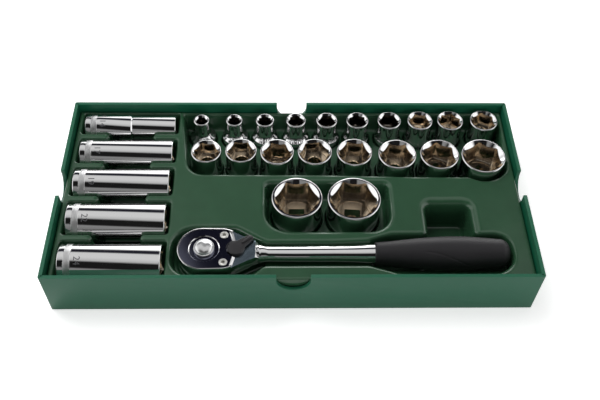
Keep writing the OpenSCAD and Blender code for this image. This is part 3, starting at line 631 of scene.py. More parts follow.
def studio_world():
    """A white studio: bright behind, a soft box overhead with a dark gap beside it, dim in front.

    The chrome shows this as long bands. Diffuse surfaces see one plain level.
    """
    world = bpy.data.worlds.new("Studio")
    world.use_nodes = True
    bpy.context.scene.world = world
    tree = world.node_tree
    tree.nodes.clear()
    way = add_node(tree, "ShaderNodeTexCoord").outputs["Generated"]
    part = add_node(tree, "ShaderNodeSeparateXYZ", {"Vector": way}).outputs
    ahead = add_node(tree, "ShaderNodeMath", {0: part["Y"], 1: -1.0}, operation="MULTIPLY")
    angle = add_node(tree, "ShaderNodeMath", {0: part["Z"], 1: ahead.outputs[0]},
                     operation="ARCTAN2")
    # the bands run a little askew
    left = add_node(tree, "ShaderNodeMapRange", {
        "Value": part["X"], "From Min": -SKEW_FROM, "From Max": 0.0,
        "To Min": SKEW_LEFT, "To Max": 0.0}).outputs["Result"]
    right = add_node(tree, "ShaderNodeMapRange", {
        "Value": part["X"], "From Min": 0.0, "From Max": SKEW_FROM,
        "To Min": 0.0, "To Max": SKEW_RIGHT}).outputs["Result"]
    # from the skewed angle to its share of a full turn, counted from straight down
    share = angle
    for operation, amount in (("ADD", left), ("ADD", right), ("ADD", math.pi / 2),
                              ("FLOORED_MODULO", 2 * math.pi), ("DIVIDE", 2 * math.pi)):
        share = add_node(tree, "ShaderNodeMath", {0: share.outputs[0], 1: amount},
                         operation=operation)
    bands = add_node(tree, "ShaderNodeValToRGB", {"Fac": share.outputs[0]})
    ramp = bands.color_ramp
    while len(ramp.elements) < len(BANDS):
        ramp.elements.new(0.5)
    for element, (degrees, level) in zip(ramp.elements, BANDS):
        element.position = (degrees + 90) / 360
        element.color = (level, level, level * (BLUE if level == BLUE_GAP else 1.0), 1)
    side = add_node(tree, "ShaderNodeMath", {0: part["X"]}, operation="ABSOLUTE")
    aside = add_node(tree, "ShaderNodeMapRange", {
        "Value": side.outputs[0], "From Min": SIDE_FROM, "From Max": SIDE_TO},
        interpolation_type="SMOOTHSTEP")
    shown = add_node(tree, "ShaderNodeMix", {
        "Factor": aside.outputs["Result"], "A": bands.outputs["Color"],
        "B": (SIDE_LEVEL, SIDE_LEVEL, SIDE_LEVEL, 1)}, data_type="RGBA")
    glossy = add_node(tree, "ShaderNodeBackground", {"Color": shown.outputs["Result"]})
    plain = add_node(tree, "ShaderNodeBackground", {
        "Color": (1, 1, 1, 1), "Strength": PLAIN_LEVEL})
    white = add_node(tree, "ShaderNodeBackground", {"Color": (1, 1, 1, 1)})
    ray = add_node(tree, "ShaderNodeLightPath").outputs
    first = add_node(tree, "ShaderNodeMixShader", {
        "Fac": ray["Is Glossy Ray"], 1: plain.outputs[0], 2: glossy.outputs[0]})
    second = add_node(tree, "ShaderNodeMixShader", {
        "Fac": ray["Is Camera Ray"], 1: first.outputs[0], 2: white.outputs[0]})
    add_node(tree, "ShaderNodeOutputWorld", {"Surface": second.outputs[0]})


def pale_floor():
    """White table top: the eye sees plain white with the set's soft shadow."""
    material, tree = start_material("White table top")
    ray = add_node(tree, "ShaderNodeLightPath")
    lift = add_node(tree, "ShaderNodeMath", {0: ray.outputs["Is Camera Ray"], 1: FLOOR_LIFT},
                    operation="MULTIPLY")
    return surfaced(material, {
        "Base Color": linear("#f4f4f4"), "Roughness": 0.8, "Emission Color": (1, 1, 1, 1),
        "Emission Strength": lift.outputs[0]})


class SOCKETSET_OT_stage(bpy.types.Operator):
    """Builds the floor, the lights and the camera"""

    bl_idname = "socket_set.stage"
    bl_label = "Stage"

    def execute(self, context):
        bm = bmesh.new()
        bmesh.ops.create_grid(bm, x_segments=1, y_segments=1, size=FLOOR_HALF)
        floor = placed("floor", mesh_from(bm, "floor"))
        floor.data.materials.append(pale_floor())
        floor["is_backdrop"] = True
        studio_world()
        for name, energy, size, place in LAMPS:
            light = bpy.data.lights.new(name, "AREA")
            light.energy = energy
            light.size = size
            lamp = placed(name, light)
            lamp.location = place
            lamp.rotation_euler = (-Vector(place)).to_track_quat("-Z", "Y").to_euler()
            lamp.visible_glossy = False
        data = bpy.data.cameras.new("camera")
        data.sensor_width = 36
        data.lens = CAMERA_LENS
        data.clip_start = 0.01
        camera = placed("camera", data)
        camera.matrix_world = Matrix.Translation(CAMERA_AT) @ camera_turn().to_4x4()
        context.scene.camera = camera
        context.scene.view_settings.view_transform = "Standard"
        return {"FINISHED"}


# ---- Tray shell ----

def notch_cutter(along_x):
    """Finger notch as a helper piece: a drum with a box over it, through one pair of walls."""
    past = 5
    reach = (SHELL_HIGH.y if along_x else SHELL_HIGH.x) + past
    middle = (SHELL_HIGH.z - NOTCH_DEPTH + NOTCH_W / 2) * MM
    half = NOTCH_W / 2 * MM
    bm = bmesh.new()
    bmesh.ops.create_cone(
        bm, cap_ends=True, segments=64, radius1=half, radius2=half, depth=2 * reach * MM,
        matrix=Matrix.Translation((0, 0, middle)) @ Matrix.Rotation(math.pi / 2, 4, "X"))
    for v in bm.verts:
        if v.co.z > middle + 1e-6:
            v.co.z = (SHELL_HIGH.z + past) * MM
            v.co.x = math.copysign(half, v.co.x) if abs(v.co.x) > 1e-6 else 0
    bmesh.ops.remove_doubles(bm, verts=bm.verts, dist=1e-6)
    bmesh.ops.dissolve_degenerate(bm, edges=bm.edges, dist=1e-6)
    if not along_x:
        bmesh.ops.rotate(bm, verts=bm.verts, matrix=Matrix.Rotation(math.pi / 2, 3, "Z"))
    bmesh.ops.recalc_face_normals(bm, faces=bm.faces)
    return helper(bm)


class SOCKETSET_OT_tray(bpy.types.Operator):
    """Builds the moulded tray with its finger notches"""

    bl_idname = "socket_set.tray"
    bl_label = "Tray"

    def execute(self, context):
        low, high = SHELL_LOW, SHELL_HIGH
        bm = block(high - low, (high + low) / 2)
        upright = [e for e in bm.edges if abs(e.verts[0].co.z - e.verts[1].co.z) > 1e-4]
        round_edges(bm, upright, TRAY_CORNER, 5)
        top = max(bm.faces, key=lambda f: f.calc_center_median().z)
        bmesh.ops.inset_region(bm, faces=[top], thickness=WALL * MM, use_even_offset=True)
        down = bmesh.ops.extrude_face_region(bm, geom=[top])["geom"]
        bmesh.ops.delete(bm, geom=[top], context="FACES")
        bmesh.ops.translate(bm, vec=(0, 0, -(high.z - TRAY_FLOOR) * MM), verts=verts_of(down))
        bmesh.ops.recalc_face_normals(bm, faces=bm.faces)
        piece = piece_from(bm, "tray", ["tray_shell"], "tray", [finish("tray")])
        combine(piece, [notch_cutter(True), notch_cutter(False)])
        bevel = piece.modifiers.new("edges", "BEVEL")
        bevel.width = context.scene.socket_set_sizes.rim_bevel
        bevel.segments = 3
        bevel.limit_method = "ANGLE"
        bevel.angle_limit = math.radians(40)
        apply_modifiers(piece)
        settle_shading(piece)
        return {"FINISHED"}


# ---- Formed insert ----

def round_union(a, b, r):
    """Distance to either of two hollows, with the ridge between them rounded."""
    return np.maximum(r, np.minimum(a, b)) - np.hypot(np.maximum(r - a, 0), np.maximum(r - b, 0))


def round_cross(a, b, r):
    """Distance to what two hollows share, with the corner between them rounded."""
    return np.minimum(-r, np.maximum(a, b)) + np.hypot(np.maximum(r + a, 0), np.maximum(r + b, 0))


def rounded_outline(points, radii, steps=8):
    """Corners replaced by arcs, as a list of points."""
    made = []
    count = len(points)
    for i in range(count):
        at = np.array(points[i], float)
        u = at - points[i - 1]
        v = np.array(points[(i + 1) % count], float) - at
        u, v = u / np.linalg.norm(u), v / np.linalg.norm(v)
        turn = math.atan2(u[0] * v[1] - u[1] * v[0], u @ v)
        side = 1 if turn > 0 else -1
        start = at - u * radii[i] * math.tan(abs(turn) / 2)
        centre = start + side * radii[i] * np.array((-u[1], u[0]))
        first = math.atan2(*(start - centre)[::-1])
        for k in range(steps + 1):
            a = first + turn * k / steps
            made.append(centre + radii[i] * np.array((math.cos(a), math.sin(a))))
    return made


def outline_distance(x, y, points):
    """Distance from an outline, negative inside."""
    squared = np.full(x.shape, 1e9)
    inside = np.zeros(x.shape, bool)
    for a, b in zip(points, points[1:] + points[:1]):
        e = b - a
        length = e @ e
        if length < 1e-12:
            continue
        t = np.clip(((x - a[0]) * e[0] + (y - a[1]) * e[1]) / length, 0, 1)
        squared = np.minimum(squared, (x - a[0] - t * e[0]) ** 2 + (y - a[1] - t * e[1]) ** 2)
        if a[1] != b[1]:
            crosses = (y >= min(a[1], b[1])) & (y < max(a[1], b[1]))
            inside ^= crosses & (x < a[0] + (y - a[1]) * e[0] / e[1])
    return np.where(inside, -1, 1) * np.sqrt(squared)


def box_distance(x, y, x0, x1, y0, y1, r=0.0):
    """Distance from a rectangle with round corners, negative inside."""
    dx = np.abs(x - (x0 + x1) / 2) - (x1 - x0) / 2 + r
    dy = np.abs(y - (y0 + y1) / 2) - (y1 - y0) / 2 + r
    return np.hypot(np.maximum(dx, 0), np.maximum(dy, 0)) + np.minimum(np.maximum(dx, dy), 0) - r


def insert_hollows(sizes):
    """The insert's hollows: each has its distance, the box that it reaches and its mouth's radius.

    The distance is a function of x and y that gives one of the height and of the points kept.
    """
    top, foot = sizes.deck_round / MM, sizes.floor_round / MM
    hollows = []

    def around(x0, x1, y0, y1, margin):
        return x0 - margin, x1 + margin, y0 - margin, y1 + margin

    def pocket(distance, box, floor, draft, mouth, base=foot, level=DECK_Z):
        """A hollow with drafted walls, whose outline at the level is where the distance is 0."""
        slope = math.tan(math.radians(draft))

        def measure(x, y):
            flat = distance(x, y)
            return lambda z, keep: round_cross(flat[keep] + (level - z) * slope, floor - z, base)
        hollows.append((measure, box, mouth))

    def lying(x0, x1, y0, z0, r, mouth, ends, within=None):
        """A trough with a round floor under a piece that lies along X."""
        def measure(x, y):
            side, end = np.abs(y - y0), np.abs(x - (x0 + x1) / 2) - (x1 - x0) / 2
            if within:
                end = np.maximum(end, within(x, y))
            return lambda z, keep: round_cross(
                np.where(z < z0, np.hypot(side[keep], z - z0),
                         side[keep] - TROUGH_LEAN * (z - z0)) - r,
                end[keep] + (DECK_Z - z) * END_LEAN, ends)
        hollows.append((measure, around(x0, x1, y0 - r, y0 + r, 8), mouth))

    low, high = INSERT_LOW, INSERT_HIGH
    places = [short_place(*entry[:2]) for entry in SHORT]
    middle_row = places[MIDDLE_ROW]
    # recess round the back and middle rows
    first, last_back, last = places[0], places[BACK_ROW][-1], middle_row[-1]
    x0, x1 = first[0] - 11, last_back[0] + last_back[4] / 2
    x2, x3 = middle_row[0][0] - middle_row[0][4] / 2, last[0] + last[4] / 2
    near, edge = last[1] - last[4] / 2, high.y - 1.9
    far = (middle_row[5][0] + middle_row[6][0]) / 2
    rows = rounded_outline([(x0 - 5.2, edge), (x2 - 1.2, near + 5), (middle_row[3][0], near + 4.6),
                            (far, near + 2.4), (x3 + 0.8, near + 2.4), (x1 + 2.8, edge)],
                           [3, 14, 30, 30, 14, 3])

    def scalloped(x, y):
        """The recess follows the middle row's sockets along its front edge."""
        inside = outline_distance(x, y, rows)
        for sx, sy, _, _, od in middle_row:
            inside = round_union(inside, np.hypot(x - sx, y - sy) - od / 2 - SCALLOP_GAP, 3.0)
        return inside

    pocket(scalloped, (x0 - 14, x3 + 12, near - 12, high.y + 5), RECESS_Z, 7, 2.8)
    # recess round the two large sockets
    left, right = places[18], places[19]
    x0, x1 = left[0] - left[4] / 2 - 5, right[0] + right[4] / 2 + 8
    y0, y1 = right[1] - right[4] / 2 - 4.5, left[1] + left[4] / 2 + 1.2
    large = rounded_outline([(x0, y1), (x0, y0), (x1, y0), (x1, y1)], [5, 19, 17, 5])
    pocket(lambda x, y: outline_distance(x, y, large), around(x0, x1, y0, y1, 9),
           RECESS_Z, 7, top + 0.6, base=3.4)
    # troughs and the channel across them
    for size, _ in DEEP:
        x0, y0, z0, length, od = deep_place(size)
        lying(x0 - TROUGH_END, x0 + length + TROUGH_END, y0, z0, od / 2 + TROUGH_GAP, 1.6, 2.6)
    x0, _, _, length, _ = deep_place(DEEP[0][0])
    middle, half = x0 + length / 2 + CHANNEL_SHIFT, CHANNEL_W / 2
    pocket(lambda x, y: box_distance(x, y, middle - half, middle + half, low.y + CHANNEL_END,
                                     high.y - CHANNEL_END, 3),
           (middle - 30, middle + 30, low.y, high.y), CHANNEL_Z, 5, 3.8)
    # ratchet: outline at the deck, seats under head, drive and grip
    dx, dy = (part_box("release_button")[0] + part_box("release_button")[1]).xy / 2 / MM
    hr, hl, gf, gr, sr = HEAD_R, HEAD_L, GRIP_FROM, GRIP_R, 6.2
    g1 = gf + GRIP_L + 2
    outer = [(-hr - 6.9, -hr - 2.7), (hl - 7, -hr - 2.7), (hl + 1.5, -13.2), (gf - 5, -13.2),
             (gf + 18, -20.6), (g1, -20.6), (g1, gr + 1.4), (gf + 14, gr + 1.4), (gf - 4, sr + 2),
             (gf - 30, sr + 0.8), (hl + 2, sr + 0.8), (hl - 21, hr + 2.2), (-hr - 6.9, hr + 2.2)]
    outer = rounded_outline([(x + dx, y + dy) for x, y in outer],
                            [16, 8, 6, 12, 20, 17, 12, 14, 8, 30, 8, 12, 18])
    seat = [(-hr - 3.5, -hr - 2), (17, -hr - 1.6), (hl - 13, -13.5), (hl + 2, -6.5), (hl + 2, 6.5),
            (hl - 13, 13.5), (17, hr + 1.6), (-hr - 3.5, hr + 2)]
    seat = rounded_outline([(x + dx, y + dy) for x, y in seat], [20, 16, 20, 2, 2, 20, 16, 20])
    reach = (dx - hr - 14, dx + g1 + 8, dy - 30, dy + 30)
    pocket(lambda x, y: outline_distance(x, y, outer), reach, OUTER_Z, 8, top, base=1.6)
    pocket(lambda x, y: outline_distance(x, y, seat), reach, SEAT_Z, 2, 1.4, base=1.0)
    pocket(lambda x, y: np.hypot(x - dx, y - dy) - 11.9, around(dx, dx, dy, dy, 20), CUP_Z, 2, 1.4,
           base=1.0)
    lying(dx + gf - 2, dx + g1, dy, GRIP_Z, gr + 0.6, 1.8, 2.0,
          lambda x, y: outline_distance(x, y, outer))
    # finger pocket behind the grip
    fx, wide = dx + gf + FINGER_FROM, FINGER_W / 2
    pocket(lambda x, y: box_distance(x, y, fx - wide, fx + wide, dy - 4, dy + gr + FINGER_L, 6),
           (fx - 28, fx + 28, dy - 12, dy + gr + 42), FINGER_Z, 3, 6.2, base=2.4)
    # cups under the standing sockets
    for x0, y0, _, _, od in places:
        r = od / 2 + CUP_GAP
        pocket(lambda x, y, x0=x0, y0=y0, r=r: np.hypot(x - x0, y - y0) - r,
               around(x0 - r, x0 + r, y0 - r, y0 + r, 5), CUP_Z, 2.2, 1.3, base=1.0,
               level=RECESS_Z)
    return hollows


def formed_heights(x, y, hollows, drop):
    """Height of the formed surface over each point, or of the sheet's underside by its drop."""
    low, high = INSERT_LOW, INSERT_HIGH
    edge = -box_distance(x, y, low.x + drop, high.x - drop, low.y + drop, high.y - drop)
    picked = []
    for measure, (x0, x1, y0, y1), mouth in hollows:
        keep = np.nonzero((x > x0 - drop) & (x < x1 + drop) & (y > y0 - drop) & (y < y1 + drop))[0]
        picked.append((keep, measure(x[keep], y[keep]), mouth))
    bottom = np.full(x.shape, 2.0)
    upper = np.full(x.shape, DECK_Z + 0.5)
    # the surface is where the gap to the hollows changes sign, found by halving
    for _ in range(18):
        z = (bottom + upper) / 2
        gap = round_union(DECK_Z - drop - z, edge, RIM_ROUND)
        for keep, flat, mouth in picked:
            inner = flat(z[keep] + drop, slice(None)) - drop
            gap[keep] = round_union(gap[keep], inner, mouth)
        solid = gap > 0
        bottom = np.where(solid, z, bottom)
        upper = np.where(solid, upper, z)
    return (bottom + upper) / 2


def formed_sheet(step, hollows, drop):
    """One side of the insert: a grid over its outline at the formed heights, and its skirt."""
    low, high = INSERT_LOW, INSERT_HIGH
    inset = EDGE_GAP + drop
    size = high - low
    bm = bmesh.new()
    bmesh.ops.create_grid(bm, x_segments=round(size.x / step), y_segments=round(size.y / step),
                          size=0.5)
    bmesh.ops.scale(bm, vec=((size.x - 2 * inset) * MM, (size.y - 2 * inset) * MM, 1),
                    verts=bm.verts)
    bmesh.ops.translate(bm, vec=((low.x + high.x) / 2 * MM, (low.y + high.y) / 2 * MM, 0),
                        verts=bm.verts)
    at = np.array([v.co[:2] for v in bm.verts]) / MM
    for v, z in zip(bm.verts, formed_heights(at[:, 0], at[:, 1], hollows, drop)):
        v.co.z = z * MM
    down = bmesh.ops.extrude_edge_only(bm, edges=[e for e in bm.edges if e.is_boundary])["geom"]
    for v in verts_of(down):
        v.co.z = (DECK_Z - SKIRT_H) * MM
    return bm


class SOCKETSET_OT_insert(bpy.types.Operator):
    """Builds the formed insert as a sheet with rounded pockets"""

    bl_idname = "socket_set.insert"
    bl_label = "Formed insert"

    def execute(self, context):
        sizes = context.scene.socket_set_sizes
        hollows = insert_hollows(sizes)
        step = sizes.grid_step / MM
        bm = bmesh.new()
        # the underside is drawn coarser; each side is then thinned to this share of its faces
        for drop, grid, share in ((0.0, step, 0.5), (SHEET, 3 * step, 0.7)):
            sheet = formed_sheet(grid, hollows, drop)
            if drop:
                bmesh.ops.reverse_faces(sheet, faces=sheet.faces)
            side = helper(sheet, "sheet")
            side.modifiers.new("thin", "DECIMATE").ratio = share
            apply_modifiers(side)
            bm.from_mesh(side.data)
            bpy.data.objects.remove(side)
        bmesh.ops.bridge_loops(bm, edges=[e for e in bm.edges if e.is_boundary])
        piece_from(bm, "formed_insert", PANELS, "tray", [finish("insert")])
        return {"FINISHED"}


# ---- Sockets ----

def hexagon(flats, relief):
    """Radius of a hexagon at an angle, with its corners eased by the relief."""
    corner = flats / math.sqrt(3) - relief
    return lambda a: min(flats / 2 / math.cos(a % (math.pi / 3) - math.pi / 6), corner)


def square(side, least=0.0):
    """Radius of a square at an angle, or of a round groove that cuts into its sides."""
    return lambda a: max(min(side / 2 / max(abs(math.cos(a)), abs(math.sin(a))), side * 0.67),
                         least)


CHROME, KNURL, BORE, MARK = range(4)


def socket_materials(flats):
    """Finishes of a socket; the small ones' insides get a darker steel, as painted shade for their
    narrow bores.
    """
    return [finish(name) for name in ("chrome", "knurl", "shaded_small_bore" if flats < 15 else "bore",
                                      "mark")]


def socket_rings(flats, mouth_od, drive_od, waist, length, hex_depth):
    """Rings of a socket, each with its radius and height at an angle and its finish.

    They run from its drive end up the outside, over the mouth and down the inside.
    """
    outer, drive = mouth_od / 2, drive_od / 2
    corner = flats / math.sqrt(3)
    rings = []

    def turned(r, z, coat=CHROME):
        rings.append((lambda a: r, lambda a: z, coat))

    def edge(r, z, radius, start, stop, steps):
        """Rounded edge: its centre, its radius and the angles in degrees where it turns."""
        for k in range(steps + 1):
            a = math.radians(start + (stop - start) * k / steps)
            turned(r + radius * math.cos(a), z + radius * math.sin(a))

    # drive end with its knurled band
    edge(drive - 1.0, 1.0, 1.0, -90, 0, 4)
    b0, b1 = BAND_FROM, BAND_FROM + BAND_W
    for rise, z, coat in ((0, b0, CHROME), (BAND_H - 0.05, b0 + 0.1, CHROME),
                          (BAND_H, b0 + 0.25, KNURL), (BAND_H, b1 - 0.25, KNURL),
                          (BAND_H - 0.05, b1 - 0.1, CHROME), (0, b1, CHROME)):
        turned(drive + rise, z, coat)
    # the outside steps in to a narrower mouth, or swells to a wider one
    if outer < drive - 0.05 and length > DEEP_FROM:
        edge(drive - 0.4, waist - 0.4, 0.4, 0, 60, 3)
        turned(outer, waist + 0.8)
    elif outer < drive - 0.05:
        bulge = min(1.8, (drive - outer) * 0.5)
        edge(drive - bulge, waist - bulge, bulge, 0, 46, 4)
        from_r, from_z = drive - bulge * 0.3, waist - bulge * 0.28
        for k in range(1, 8):
            t = k / 7
            turned(outer + (from_r - outer) * (1 - t) ** 1.8, from_z + (SHOULDER + 1.3) * t)
    elif outer > drive + 0.05:
        turned(drive, waist - 0.5)
        for k in range(1, 5):
            t = k / 4
            turned(drive + (outer - drive) * (3 * t * t - 2 * t ** 3), waist + SHOULDER * t)
    # rounded rim
    rim = min(1.0, (outer - corner) * 0.5)
    turned(outer, length - rim)
    edge(outer - rim, length - rim, rim, 12, 90, 5)
    lead = outer - rim - 0.12
    if flats > 28:
        lead = min(lead, corner + 0.35)
    turned(lead, length - 0.01)
    relief = flats * CORNER_EASE
    wall = hexagon(flats, relief)
    for share in (0.04, 0.5, 0.98):
        # the lead-in cone, from the rim to where it meets the hexagon
        rings.append((lambda a, s=share: lead + (wall(a) - lead) * s,
                      lambda a, s=share: length - 0.02 - LEAD_SLOPE * (lead - wall(a)) * s,
                      CHROME))
    # hexagon
    rings.append((wall, lambda a: length - 0.05 - LEAD_SLOPE * (lead - wall(a)) - 0.15, BORE))
    floor = length - hex_depth
    rings.append((wall, lambda a: floor + 0.3, BORE))
    rings.append((hexagon(flats - 0.6, relief), lambda a: floor, BORE))
    # clearance bore, or a plain floor where a short socket's hexagon reaches down to the square
    if flats > 19 and floor < 19:
        step = flats / 2 - 1.6
        drive_top = floor - 0.6
        turned(step, floor, BORE)
        turned(step - 0.3, drive_top, BORE)
    else:
        bore = min(flats / 2 - 1.2, DRIVE_SQ / 2 - 0.95)
        if length > DEEP_FROM:
            wide = flats / 2 - 0.3
            turned(wide, floor - 0.3, BORE)
            turned(wide, DRIVE_END + 0.3, BORE)
            turned(bore, DRIVE_END, BORE)
        else:
            turned(bore + 0.4, floor - 0.4, BORE)
            turned(bore, floor - 0.9, BORE)
        turned(bore, 18.0, BORE)
        drive_top = 17.4
    # square hole with the groove for the detent ball
    side, groove = square(DRIVE_SQ), DRIVE_SQ / 2 + DETENT_DEPTH
    rings.append((side, lambda a: drive_top - 0.2, BORE))
    for offset, least in ((DETENT_HALF + 0.01, 0), (DETENT_HALF - 0.01, groove),
                          (0.01 - DETENT_HALF, groove), (-0.01 - DETENT_HALF, 0)):
        rings.append((square(DRIVE_SQ, least), lambda a, z=DETENT_Z + offset: z, BORE))
    rings.append((side, lambda a: 0.7, BORE))
    rings.append((square(DRIVE_SQ + 1.2), lambda a: 0.0, CHROME))
    return rings


def ring_body(bm, rings, segments, turn=0.0):
    """Extrudes one ring after another into a closed tube, with UVs in millimetres."""
    angle = {}

    def set_ring(verts, radius, height):
        for v in verts:
            a = angle[v]
            v.co = (radius(a) * math.cos(a) * MM, radius(a) * math.sin(a) * MM, height(a) * MM)

    made = bmesh.ops.create_circle(bm, segments=segments, radius=1.0)
    first_edges = loop = bm.edges[:]
    for v in made["verts"]:
        angle[v] = math.atan2(v.co.y, v.co.x) % (2 * math.pi)
    set_ring(made["verts"], *rings[0][:2])
    coats = []
    for radius, height, coat in rings[1:]:
        before = set(bm.faces)
        turns = {tuple(v.co): angle[v] for e in loop for v in e.verts}
        geom = bmesh.ops.extrude_edge_only(bm, edges=loop)["geom"]
        for v in verts_of(geom):
            angle[v] = turns[tuple(v.co)]
        set_ring(verts_of(geom), radius, height)
        loop = edges_of(geom)
        coats.append((coat, [f for f in bm.faces if f not in before]))
    before = set(bm.faces)
    bmesh.ops.bridge_loops(bm, edges=loop + first_edges)
    coats.append((CHROME, [f for f in bm.faces if f not in before]))
    uv = bm.loops.layers.uv.new("turned")
    for coat, faces in coats:
        for face in faces:
            face.material_index = coat
            around = [angle[corner.vert] for corner in face.loops]
            wrap = max(around) - min(around) > math.pi
            for corner, a in zip(face.loops, around):
                a = a + 2 * math.pi if wrap and a < math.pi else a
                corner[uv].uv = (a * DRIVE_OD / 2, corner.vert.co.z / MM)
    bmesh.ops.recalc_face_normals(bm, faces=bm.faces)
    sharpen(bm, 24)
    if turn:
        bmesh.ops.rotate(bm, verts=bm.verts, matrix=Matrix.Rotation(math.radians(turn), 3, "Z"))


def size_mark(bm, text, height, radius, at, turns):
    """Adds the number as a thin skin wrapped round a socket, once for each turn in degrees."""
    curve = bpy.data.curves.new("mark", "FONT")
    curve.body = text
    curve.size = height / CAP_SHARE
    curve.align_x = "CENTER"
    curve.resolution_u = 4
    words = placed("mark", curve)
    bpy.context.view_layer.update()
    graph = bpy.context.evaluated_depsgraph_get()
    flat = bpy.data.meshes.new_from_object(words.evaluated_get(graph))
    bpy.data.objects.remove(words)
    bpy.data.curves.remove(curve)
    for turn in turns:
        one = bmesh.new()
        one.from_mesh(flat)
        cuts = int(max(abs(v.co.x) for v in one.verts) / (MARK_STEP * MM))
        for k in range(-cuts, cuts + 1):
            bmesh.ops.bisect_plane(one, geom=all_of(one), dist=1e-7,
                                   plane_co=(k * MARK_STEP * MM, 0, 0), plane_no=(1, 0, 0))
        for v in one.verts:
            a = v.co.x / (radius * MM) + math.radians(turn)
            v.co = (math.cos(a) * (radius + MARK_LIFT) * MM,
                    math.sin(a) * (radius + MARK_LIFT) * MM, v.co.y + at * MM)
        for face in one.faces:
            face.material_index = MARK
        add_part(bm, one)
    bpy.data.meshes.remove(flat)


class SOCKETSET_OT_short_sockets(bpy.types.Operator):
    """Builds the standing sockets, each in its cup"""

    bl_idname = "socket_set.short_sockets"
    bl_label = "Short sockets"

    def execute(self, context):
        sizes = context.scene.socket_set_sizes
        for flats, od, hex_depth, turn in SHORT:
            x, y, z, length, widest = short_place(flats, od)
            bm = bmesh.new()
            rings = socket_rings(flats, od, widest, DRIVE_END, length, hex_depth)
            ring_body(bm, rings, sizes.socket_segments, turn)
            size_mark(bm, str(flats), sizes.mark_height, widest / 2, 12.2, (turn - 90, turn + 90))
            bmesh.ops.translate(bm, verts=bm.verts, vec=Vector((x, y, z)) * MM)
            name = "socket_%02dmm" % flats
            piece_from(bm, name + "_dressed", [name], name, socket_materials(flats))
        return {"FINISHED"}


class SOCKETSET_OT_deep_sockets(bpy.types.Operator):
    """Builds the lying deep sockets"""

    bl_idname = "socket_set.deep_sockets"
    bl_label = "Deep sockets"

    def execute(self, context):
        sizes = context.scene.socket_set_sizes
        # turned so that a number faces up, then laid with the mouth to the right
        lie = Matrix.Rotation(math.pi / 2, 4, "Y") @ Matrix.Rotation(math.radians(200), 4, "Z")
        for flats, mouth_od in DEEP:
            x, y, z, length, widest = deep_place(flats)
            bm = bmesh.new()
            rings = socket_rings(flats, mouth_od, widest, DEEP_WAIST * length, length, DEEP_HEX)
            ring_body(bm, rings, sizes.socket_segments)
            size_mark(bm, str(flats), sizes.mark_height, widest / 2, 12.6, range(0, 360, 60))
            place = Matrix.Translation(Vector((x, y, z)) * MM)
            bmesh.ops.transform(bm, matrix=place @ lie, verts=bm.verts)
            name = "deep_socket_%dmm" % flats
            piece_from(bm, name + "_dressed", [name], name, socket_materials(flats))
        return {"FINISHED"}


# ---- Ratchet: its own origin is the drive's axis at the underside of the head ----

def ratchet_origin():
    """The drive's axis at the underside of the head, in metres."""
    low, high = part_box("release_button")
    return Vector(((low.x + high.x) / 2, (low.y + high.y) / 2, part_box("ratchet_body")[0].z))


def ratchet_piece(bm, name, node_names, body, materials):
    """A finished piece of the ratchet, moved from the ratchet's own origin to its place."""
    bmesh.ops.translate(bm, verts=bm.verts, vec=ratchet_origin())
    return piece_from(bm, name, node_names, body, materials)


def ratchet_helper(bm):
    """A helper piece, moved from the ratchet's own origin to its place."""
    bmesh.ops.translate(bm, verts=bm.verts, vec=ratchet_origin())
    return helper(bm)


def head_face(inset, z):
    """The head's outline as a flat face, drawn in by the inset."""
    bm = bmesh.new()
    outline_face(bm, HEAD_CORNERS, z, HEAD_RADII, HEAD_STEPS)
    # two arcs meet at one point, where the inset would cross itself without this
    bmesh.ops.remove_doubles(bm, verts=bm.verts, dist=3e-5)
    if inset:
        face = max(bm.faces, key=lambda f: f.calc_area())
        ring = bmesh.ops.inset_region(bm, faces=[face], thickness=inset * MM,
                                      use_even_offset=True, use_boundary=True)["faces"]
        bmesh.ops.delete(bm, geom=ring, context="FACES")
    return bm


def slice_off(bm, point, way):
    """Cuts off what lies beyond a plane, and closes the cut."""
    made = bmesh.ops.bisect_plane(bm, geom=all_of(bm), dist=1e-6, plane_co=Vector(point) * MM,
                                  plane_no=way, clear_outer=True)["geom_cut"]
    bmesh.ops.holes_fill(bm, edges=edges_of(made))
    bmesh.ops.recalc_face_normals(bm, faces=bm.faces)


def plate_prism(inset, z0, z1, reach=0.0):
    """The cover plate's outline as a prism, whose two end edges slant back from the lever."""
    bm = head_face(inset, z0)
    for turn in (PLATE_SLANT, -PLATE_SLANT):
        along = Vector((math.cos(turn), math.sin(turn), 0))
        bmesh.ops.bisect_plane(bm, geom=all_of(bm), dist=1e-6, plane_no=along, clear_outer=True,
                               plane_co=along * (PLATE_END + reach) * MM)
    raise_faces(bm, z1 - z0)
    return bm


def drum(radius, z0, z1, x=0.0, y=0.0, segments=96, flare=0.0):
    """An upright cylinder, or one that flares upwards, as a helper piece at the ratchet."""
    bm = bmesh.new()
    place = Matrix.Translation(ratchet_origin() + Vector((x, y, (z0 + z1) / 2)) * MM)
    bmesh.ops.create_cone(bm, cap_ends=True, segments=segments, radius1=radius * MM,
                          radius2=(radius + flare) * MM, depth=(z1 - z0) * MM, matrix=place)
    return helper(bm)


def along_handle(profile, segments=96):
    """A solid of revolution about the handle's axis, from (distance along, radius) points."""
    bm = bmesh.new()
    lathe(bm, [(r, x) for x, r in profile], segments)
    turn = Matrix.Translation((0, 0, AXIS_H * MM)) @ Matrix.Rotation(math.pi / 2, 4, "Y")
    bmesh.ops.transform(bm, matrix=turn, verts=bm.verts)
    return bm


def outline_edges(bm, z):
    """Edges at this height that bound a flat face from an upright one."""
    return [edge for edge in bm.edges
            if all(abs(v.co.z - z * MM) < 1e-6 for v in edge.verts)
            and len(edge.link_faces) == 2 and edge.calc_face_angle() > math.radians(60)]


